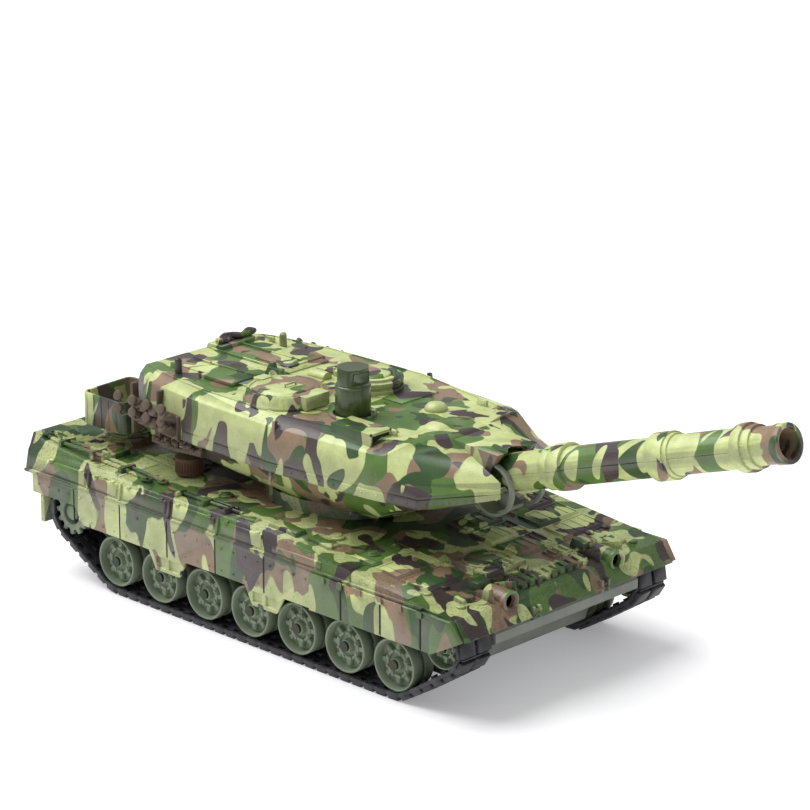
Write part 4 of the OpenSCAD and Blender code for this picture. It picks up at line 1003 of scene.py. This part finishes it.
def build_baskets(sizes):
    """Baskets with upright ribs and a rolled rim."""
    worked_copy("stowage_baskets", "turret", "print_smooth", 0.3)
    shape = Shape()
    low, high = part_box("stowage_baskets")
    z0, z1 = low.z / MM, high.z / MM
    x0 = node_x(low.x)
    for side in (-1, 1):
        for k in range(5):
            x = x0 + 4.5 + 4.6 * k
            shape.box((x - 0.3, side * 42.0 - 0.2, z0 + 0.6), (x + 0.3, side * 42.0 + 0.2, z1 - 0.8))
        for k in range(5):
            y = side * (17.5 + 5.4 * k)
            lean = 1.6 * (abs(y) - 13.4) / 28.6
            shape.box((x0 + lean - 0.15, y - 0.3, z0 + 0.6), (x0 + lean + 0.5, y + 0.3, z1 - 0.8))
    shape.piece("basket_ribs", "turret", "print_smooth", SKIN, 0.12)


def build_hatches(sizes):
    """Commander's and loader's hatch with periscopes, hinges and guard."""
    worked_copy("commander_hatch", "turret", "print_smooth", 0.25)
    worked_copy("loader_hatch", "turret", "print_smooth", 0.25)
    shape = Shape()
    hub = (-15.5, -22.9)
    lid_z = top_of("commander_hatch", *hub)
    # hinge block, lid handle and a row of bolts on the cupola's slope
    shape.box((hub[0] - 15.5, hub[1] - 3, lid_z - 1.8), (hub[0] - 10.5, hub[1] + 3, lid_z + 0.5))
    loop = [(hub[0] + 3, hub[1] - 3, lid_z - 0.2), (hub[0] + 3, hub[1] - 3, lid_z + 1.1)]
    loop += [(x, y + 6, z) for x, y, z in reversed(loop)]
    shape.tube(loop, 0.5, 6)
    other = Vector((-0.6, 11.9, 98.9))
    shape.box((other.x - 10, other.y - 1.6, 97.4), (other.x - 5.4, other.y + 1.6, 99.6))
    shape.turned((other.x, other.y, 98.2), UP, [(0, 7.8), (0.5, 7.8), (1.1, 7.0), (1.3, 4.0)], 32)
    for place in circle(other.x, other.y, 98.75, 9.8, 12)[:-1]:
        shape.dome(place, UP, 0.5, 0.3, 8)
    shape.piece("hatch_fittings", "turret", "print_smooth", SKIN, 0.15)


def build_sight(sizes):
    """The commander's sight in plain semi-gloss olive plastic, with two raised bands."""
    worked_copy("commander_sight", "sight", "olive", 0.3)
    low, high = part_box("commander_sight")
    mid = centre("commander_sight")
    x, y = node_x(mid.x), mid.y / MM
    radius = (high.x - low.x) / 2 / MM
    shape = Shape()
    wide, narrow = radius + 0.05, radius - 0.3
    shape.turned((x, y, 104.6), UP, [(0, narrow), (0.3, wide), (0.9, wide), (1.2, narrow)], 48)
    shape.turned((x, y, 92.8), UP, [(0, radius), (0.9, radius), (1.3, radius - 0.4)], 48)
    shape.piece("sight_bands", "sight", "olive", "olive_plastic")


GUN_TILT = 18.0  # degrees that the gun points up at rest
BORE_RADIUS = 5.75


def build_gun(sizes):
    """Barrel half shells, muzzle cap and cradle with worked edges."""
    worked_copy("barrel_upper", "gun", "print_smooth", 0.2)
    worked_copy("barrel_lower", "gun", "print_smooth", 0.2)
    worked_copy("muzzle_cap", "gun", "print_smooth", 0.3)
    worked_copy("gun_cradle", "gun", "cradle", 0.2)
    # the dark inside of the barrel behind the muzzle
    mid = centre("muzzle_cap")
    cap = Vector((node_x(mid.x), mid.y / MM, mid.z / MM))
    tilt = math.radians(GUN_TILT)
    along = Vector((math.cos(tilt), 0, math.sin(tilt)))
    plug = Shape()
    plug.rod(cap - along * 12, cap - along * 1.5, BORE_RADIUS, 32)
    plug.piece("bore_shadow", "gun", "black", SKIN)


def build_inner_parts(sizes):
    """Finishes of the pieces that the shells hide."""
    finishes = {
        "pin": ("wheel_pins", "idler_pins"),
        "steel": ("gear_pins", "hull_screws", "trunnion_pins"),
        "nylon": ("gearbox_frames", "turret_ring_gear"),
        "brass": ("turret_pinion",),
        "can": ("drive_motors", "turret_motor"),
        "sleeve": ("battery_pack",),
        "board": ("circuit_board",),
        "black": ("speaker", "knob_switch"),
        "print_rough": ("antenna_stubs",),
        "knob": ("deck_knob",),
    }
    for finish, nodes in finishes.items():
        for node in nodes:
            finish_node(node, finish)


# ---------- stage ----------

CAMERA_BACK = Vector((0.6633, -0.6811, 0.3102))
CAMERA_FROM = (941.6, -936.3, 521.0)
LENS_MM = 152.67
KEY_FROM = Vector((-0.48, -0.2, 0.85))
KEY_WIDTH = math.radians(50)
FLOOR_GLOW = 0.28  # light that the white sweep gives back into its own shadows


def build_stage(sizes):
    """White floor, soft studio light and the camera."""
    scene = bpy.context.scene
    scene.view_settings.view_transform = "Standard"
    bpy.ops.mesh.primitive_plane_add(size=8, location=(0, 0, 0))
    floor = bpy.context.object
    floor.name = "studio_floor"
    made, _, shader = new_material("white_card", 0.7)
    shader.inputs["Base Color"].default_value = linear("#F4F4F5")
    shader.inputs["Emission Color"].default_value = linear("#F1F0F6")
    shader.inputs["Emission Strength"].default_value = FLOOR_GLOW
    floor.data.materials.append(made)

    world = bpy.data.worlds.new("studio_light")
    scene.world = world
    world.use_nodes = True
    world.node_tree.nodes["Background"].inputs["Color"].default_value = (1, 1, 1, 1)
    world.node_tree.nodes["Background"].inputs["Strength"].default_value = sizes.fill

    data = bpy.data.lights.new("broad_daylight", "SUN")
    data.energy = sizes.key
    data.angle = KEY_WIDTH
    lamp = bpy.data.objects.new("broad_daylight", data)
    scene.collection.objects.link(lamp)
    lamp.location = KEY_FROM
    lamp.rotation_euler = KEY_FROM.to_track_quat("Z", "Y").to_euler()

    data = bpy.data.cameras.new("studio_camera")
    data.lens = LENS_MM
    data.sensor_width = 36
    data.clip_start = 0.01
    camera = bpy.data.objects.new("studio_camera", data)
    scene.collection.objects.link(camera)
    camera.location = at(*CAMERA_FROM)
    camera.rotation_euler = CAMERA_BACK.to_track_quat("Z", "Y").to_euler()
    scene.camera = camera


# ---------- add-on ----------


def length(name, description, default_mm, low_mm, high_mm):
    """A length property, kept in metres and shown in the scene's own unit."""
    return bpy.props.FloatProperty(
        name=name,
        description=description,
        default=default_mm * MM,
        min=low_mm * MM,
        max=high_mm * MM,
        precision=5,
        subtype="DISTANCE",
        unit="LENGTH",
    )


def strength(name, description, default, high):
    """A light level property."""
    return bpy.props.FloatProperty(name=name, description=description, default=default, min=0, max=high)


def colour(name, description, code):
    """A colour property with its default given as an sRGB hex value."""
    return bpy.props.FloatVectorProperty(
        name=name, description=description, default=linear(code), size=4, min=0, max=1, subtype="COLOR"
    )


class TankSizes(bpy.types.PropertyGroup):
    """Sizes and light levels that a user would change."""

    edge: length("Edge", "Rounding of the moulded edges", 0.3, 0.05, 0.6)
    rivet: length("Rivet", "Radius of a rivet head", 0.62, 0.3, 1.0)
    link_pitch: length("Link pitch", "Length of one track link", 6.6, 5, 9)
    key: strength("Key light", "Strength of the broad light from above", 2.75, 10)
    fill: strength("Fill light", "Strength of the white surroundings", 0.45, 2)


class TankColours(bpy.types.PropertyGroup):
    """Colours that a user would change."""

    pale_green: colour("Pale green", "Ground colour of the camouflage film", "#D3DF97")
    mid_green: colour("Mid green", "Largest blotches of the film", "#5C8038")
    tan_brown: colour("Tan brown", "Tan blotches of the film", "#9A8067")
    deep_green: colour("Deep green", "Dark green blotches of the film", "#38592B")
    dark_brown: colour("Dark brown", "Dark brown blotches of the film", "#483B3C")
    # painted shade: the darker grey that the film's upright walls are mixed towards
    wall_shade: colour("Wall grey", "Tone the film turns to on upright walls", "#6A685E")
    wheel: colour("Wheels", "Plastic of the road wheels, idlers and sprockets", "#7E8A74")
    lower_hull: colour("Lower hull", "Plastic of the hull tub", "#7B8076")
    track: colour("Tracks", "Soft plastic of the belts", "#1E1D21")
    sight: colour("Sight", "Glossy plastic of the commander's sight", "#3A4A22")
    knob: colour("Knob", "Plastic of the knob on the rear deck", "#5E4333")


def in_millimetres(group):
    """The sizes as the builders use them."""
    lengths = {key: getattr(group, key) / MM for key in ("edge", "rivet", "link_pitch")}
    return SimpleNamespace(key=group.key, fill=group.fill, **lengths)


class PieceOperator:
    """Shared way of the tank's operators: call the builders."""

    bl_options = {"REGISTER", "UNDO"}
    builders = ()

    def execute(self, context):
        for build in self.builders:
            build(in_millimetres(context.scene.rc_tank_sizes))
        return {"FINISHED"}


class RCTANK_OT_stage(PieceOperator, bpy.types.Operator):
    """Sets up the floor, lights and camera"""

    bl_idname = "rctank.stage"
    bl_label = "Studio stage"
    builders = (build_stage,)


class RCTANK_OT_hull(PieceOperator, bpy.types.Operator):
    """Builds the hull shells and skirts"""

    bl_idname = "rctank.hull"
    bl_label = "Hull shells"
    builders = (build_hull_shells, build_sponson_hatches, build_skirt_rivets)


class RCTANK_OT_deck(PieceOperator, bpy.types.Operator):
    """Builds the fittings of the rear deck and the tools"""

    bl_idname = "rctank.deck"
    bl_label = "Deck fittings"
    builders = (build_rear_deck, build_tow_cables, build_deck_tools)


class RCTANK_OT_bow(PieceOperator, bpy.types.Operator):
    """Builds the fittings of the bow and its lamps"""

    bl_idname = "rctank.bow"
    bl_label = "Bow fittings and lamps"
    builders = (build_glacis, build_bow_plate, build_lamps)


class RCTANK_OT_running_gear(PieceOperator, bpy.types.Operator):
    """Builds belts, wheels and sprockets"""

    bl_idname = "rctank.running_gear"
    bl_label = "Running gear"
    builders = (build_tracks, build_wheels, build_sprockets)


class RCTANK_OT_turret(PieceOperator, bpy.types.Operator):
    """Builds the turret shells with their fittings"""

    bl_idname = "rctank.turret"
    bl_label = "Turret"
    builders = (build_turret_shells, build_roof_fittings, build_cheek_fittings, build_hatches)


class RCTANK_OT_stowage(PieceOperator, bpy.types.Operator):
    """Builds the baskets and smoke dischargers"""

    bl_idname = "rctank.stowage"
    bl_label = "Baskets and dischargers"
    builders = (build_launchers, build_baskets)


class RCTANK_OT_sight(PieceOperator, bpy.types.Operator):
    """Builds the commander's sight"""

    bl_idname = "rctank.sight"
    bl_label = "Commander's sight"
    builders = (build_sight,)


class RCTANK_OT_gun(PieceOperator, bpy.types.Operator):
    """Builds the gun"""

    bl_idname = "rctank.gun"
    bl_label = "Gun"
    builders = (build_gun,)


class RCTANK_OT_inner(PieceOperator, bpy.types.Operator):
    """Finishes the inner pieces"""

    bl_idname = "rctank.inner"
    bl_label = "Inner pieces"
    builders = (build_inner_parts,)


OPERATORS = (
    RCTANK_OT_stage,
    RCTANK_OT_hull,
    RCTANK_OT_deck,
    RCTANK_OT_bow,
    RCTANK_OT_running_gear,
    RCTANK_OT_turret,
    RCTANK_OT_stowage,
    RCTANK_OT_sight,
    RCTANK_OT_gun,
    RCTANK_OT_inner,
)


class RCTANK_PT_panel(bpy.types.Panel):
    """Lists the tank's pieces in the sidebar"""

    bl_idname = "RCTANK_PT_panel"
    bl_label = "RC Tank"
    bl_space_type = "VIEW_3D"
    bl_region_type = "UI"
    bl_category = "RC Tank"

    def draw(self, context):
        for group in (context.scene.rc_tank_sizes, context.scene.rc_tank_colours):
            for key in group.__annotations__:
                self.layout.prop(group, key)
        for operator in OPERATORS:
            self.layout.operator(operator.bl_idname)


CLASSES = (TankSizes, TankColours, *OPERATORS, RCTANK_PT_panel)


def register():
    for cls in CLASSES:
        bpy.utils.register_class(cls)
    bpy.types.Scene.rc_tank_sizes = bpy.props.PointerProperty(type=TankSizes)
    bpy.types.Scene.rc_tank_colours = bpy.props.PointerProperty(type=TankColours)


def unregister():
    del bpy.types.Scene.rc_tank_colours
    del bpy.types.Scene.rc_tank_sizes
    for cls in reversed(CLASSES):
        bpy.utils.unregister_class(cls)


def main():
    register()
    for operator in OPERATORS:
        group, name = operator.bl_idname.split(".")
        getattr(getattr(bpy.ops, group), name)()


if __name__ == "__main__":
    main()
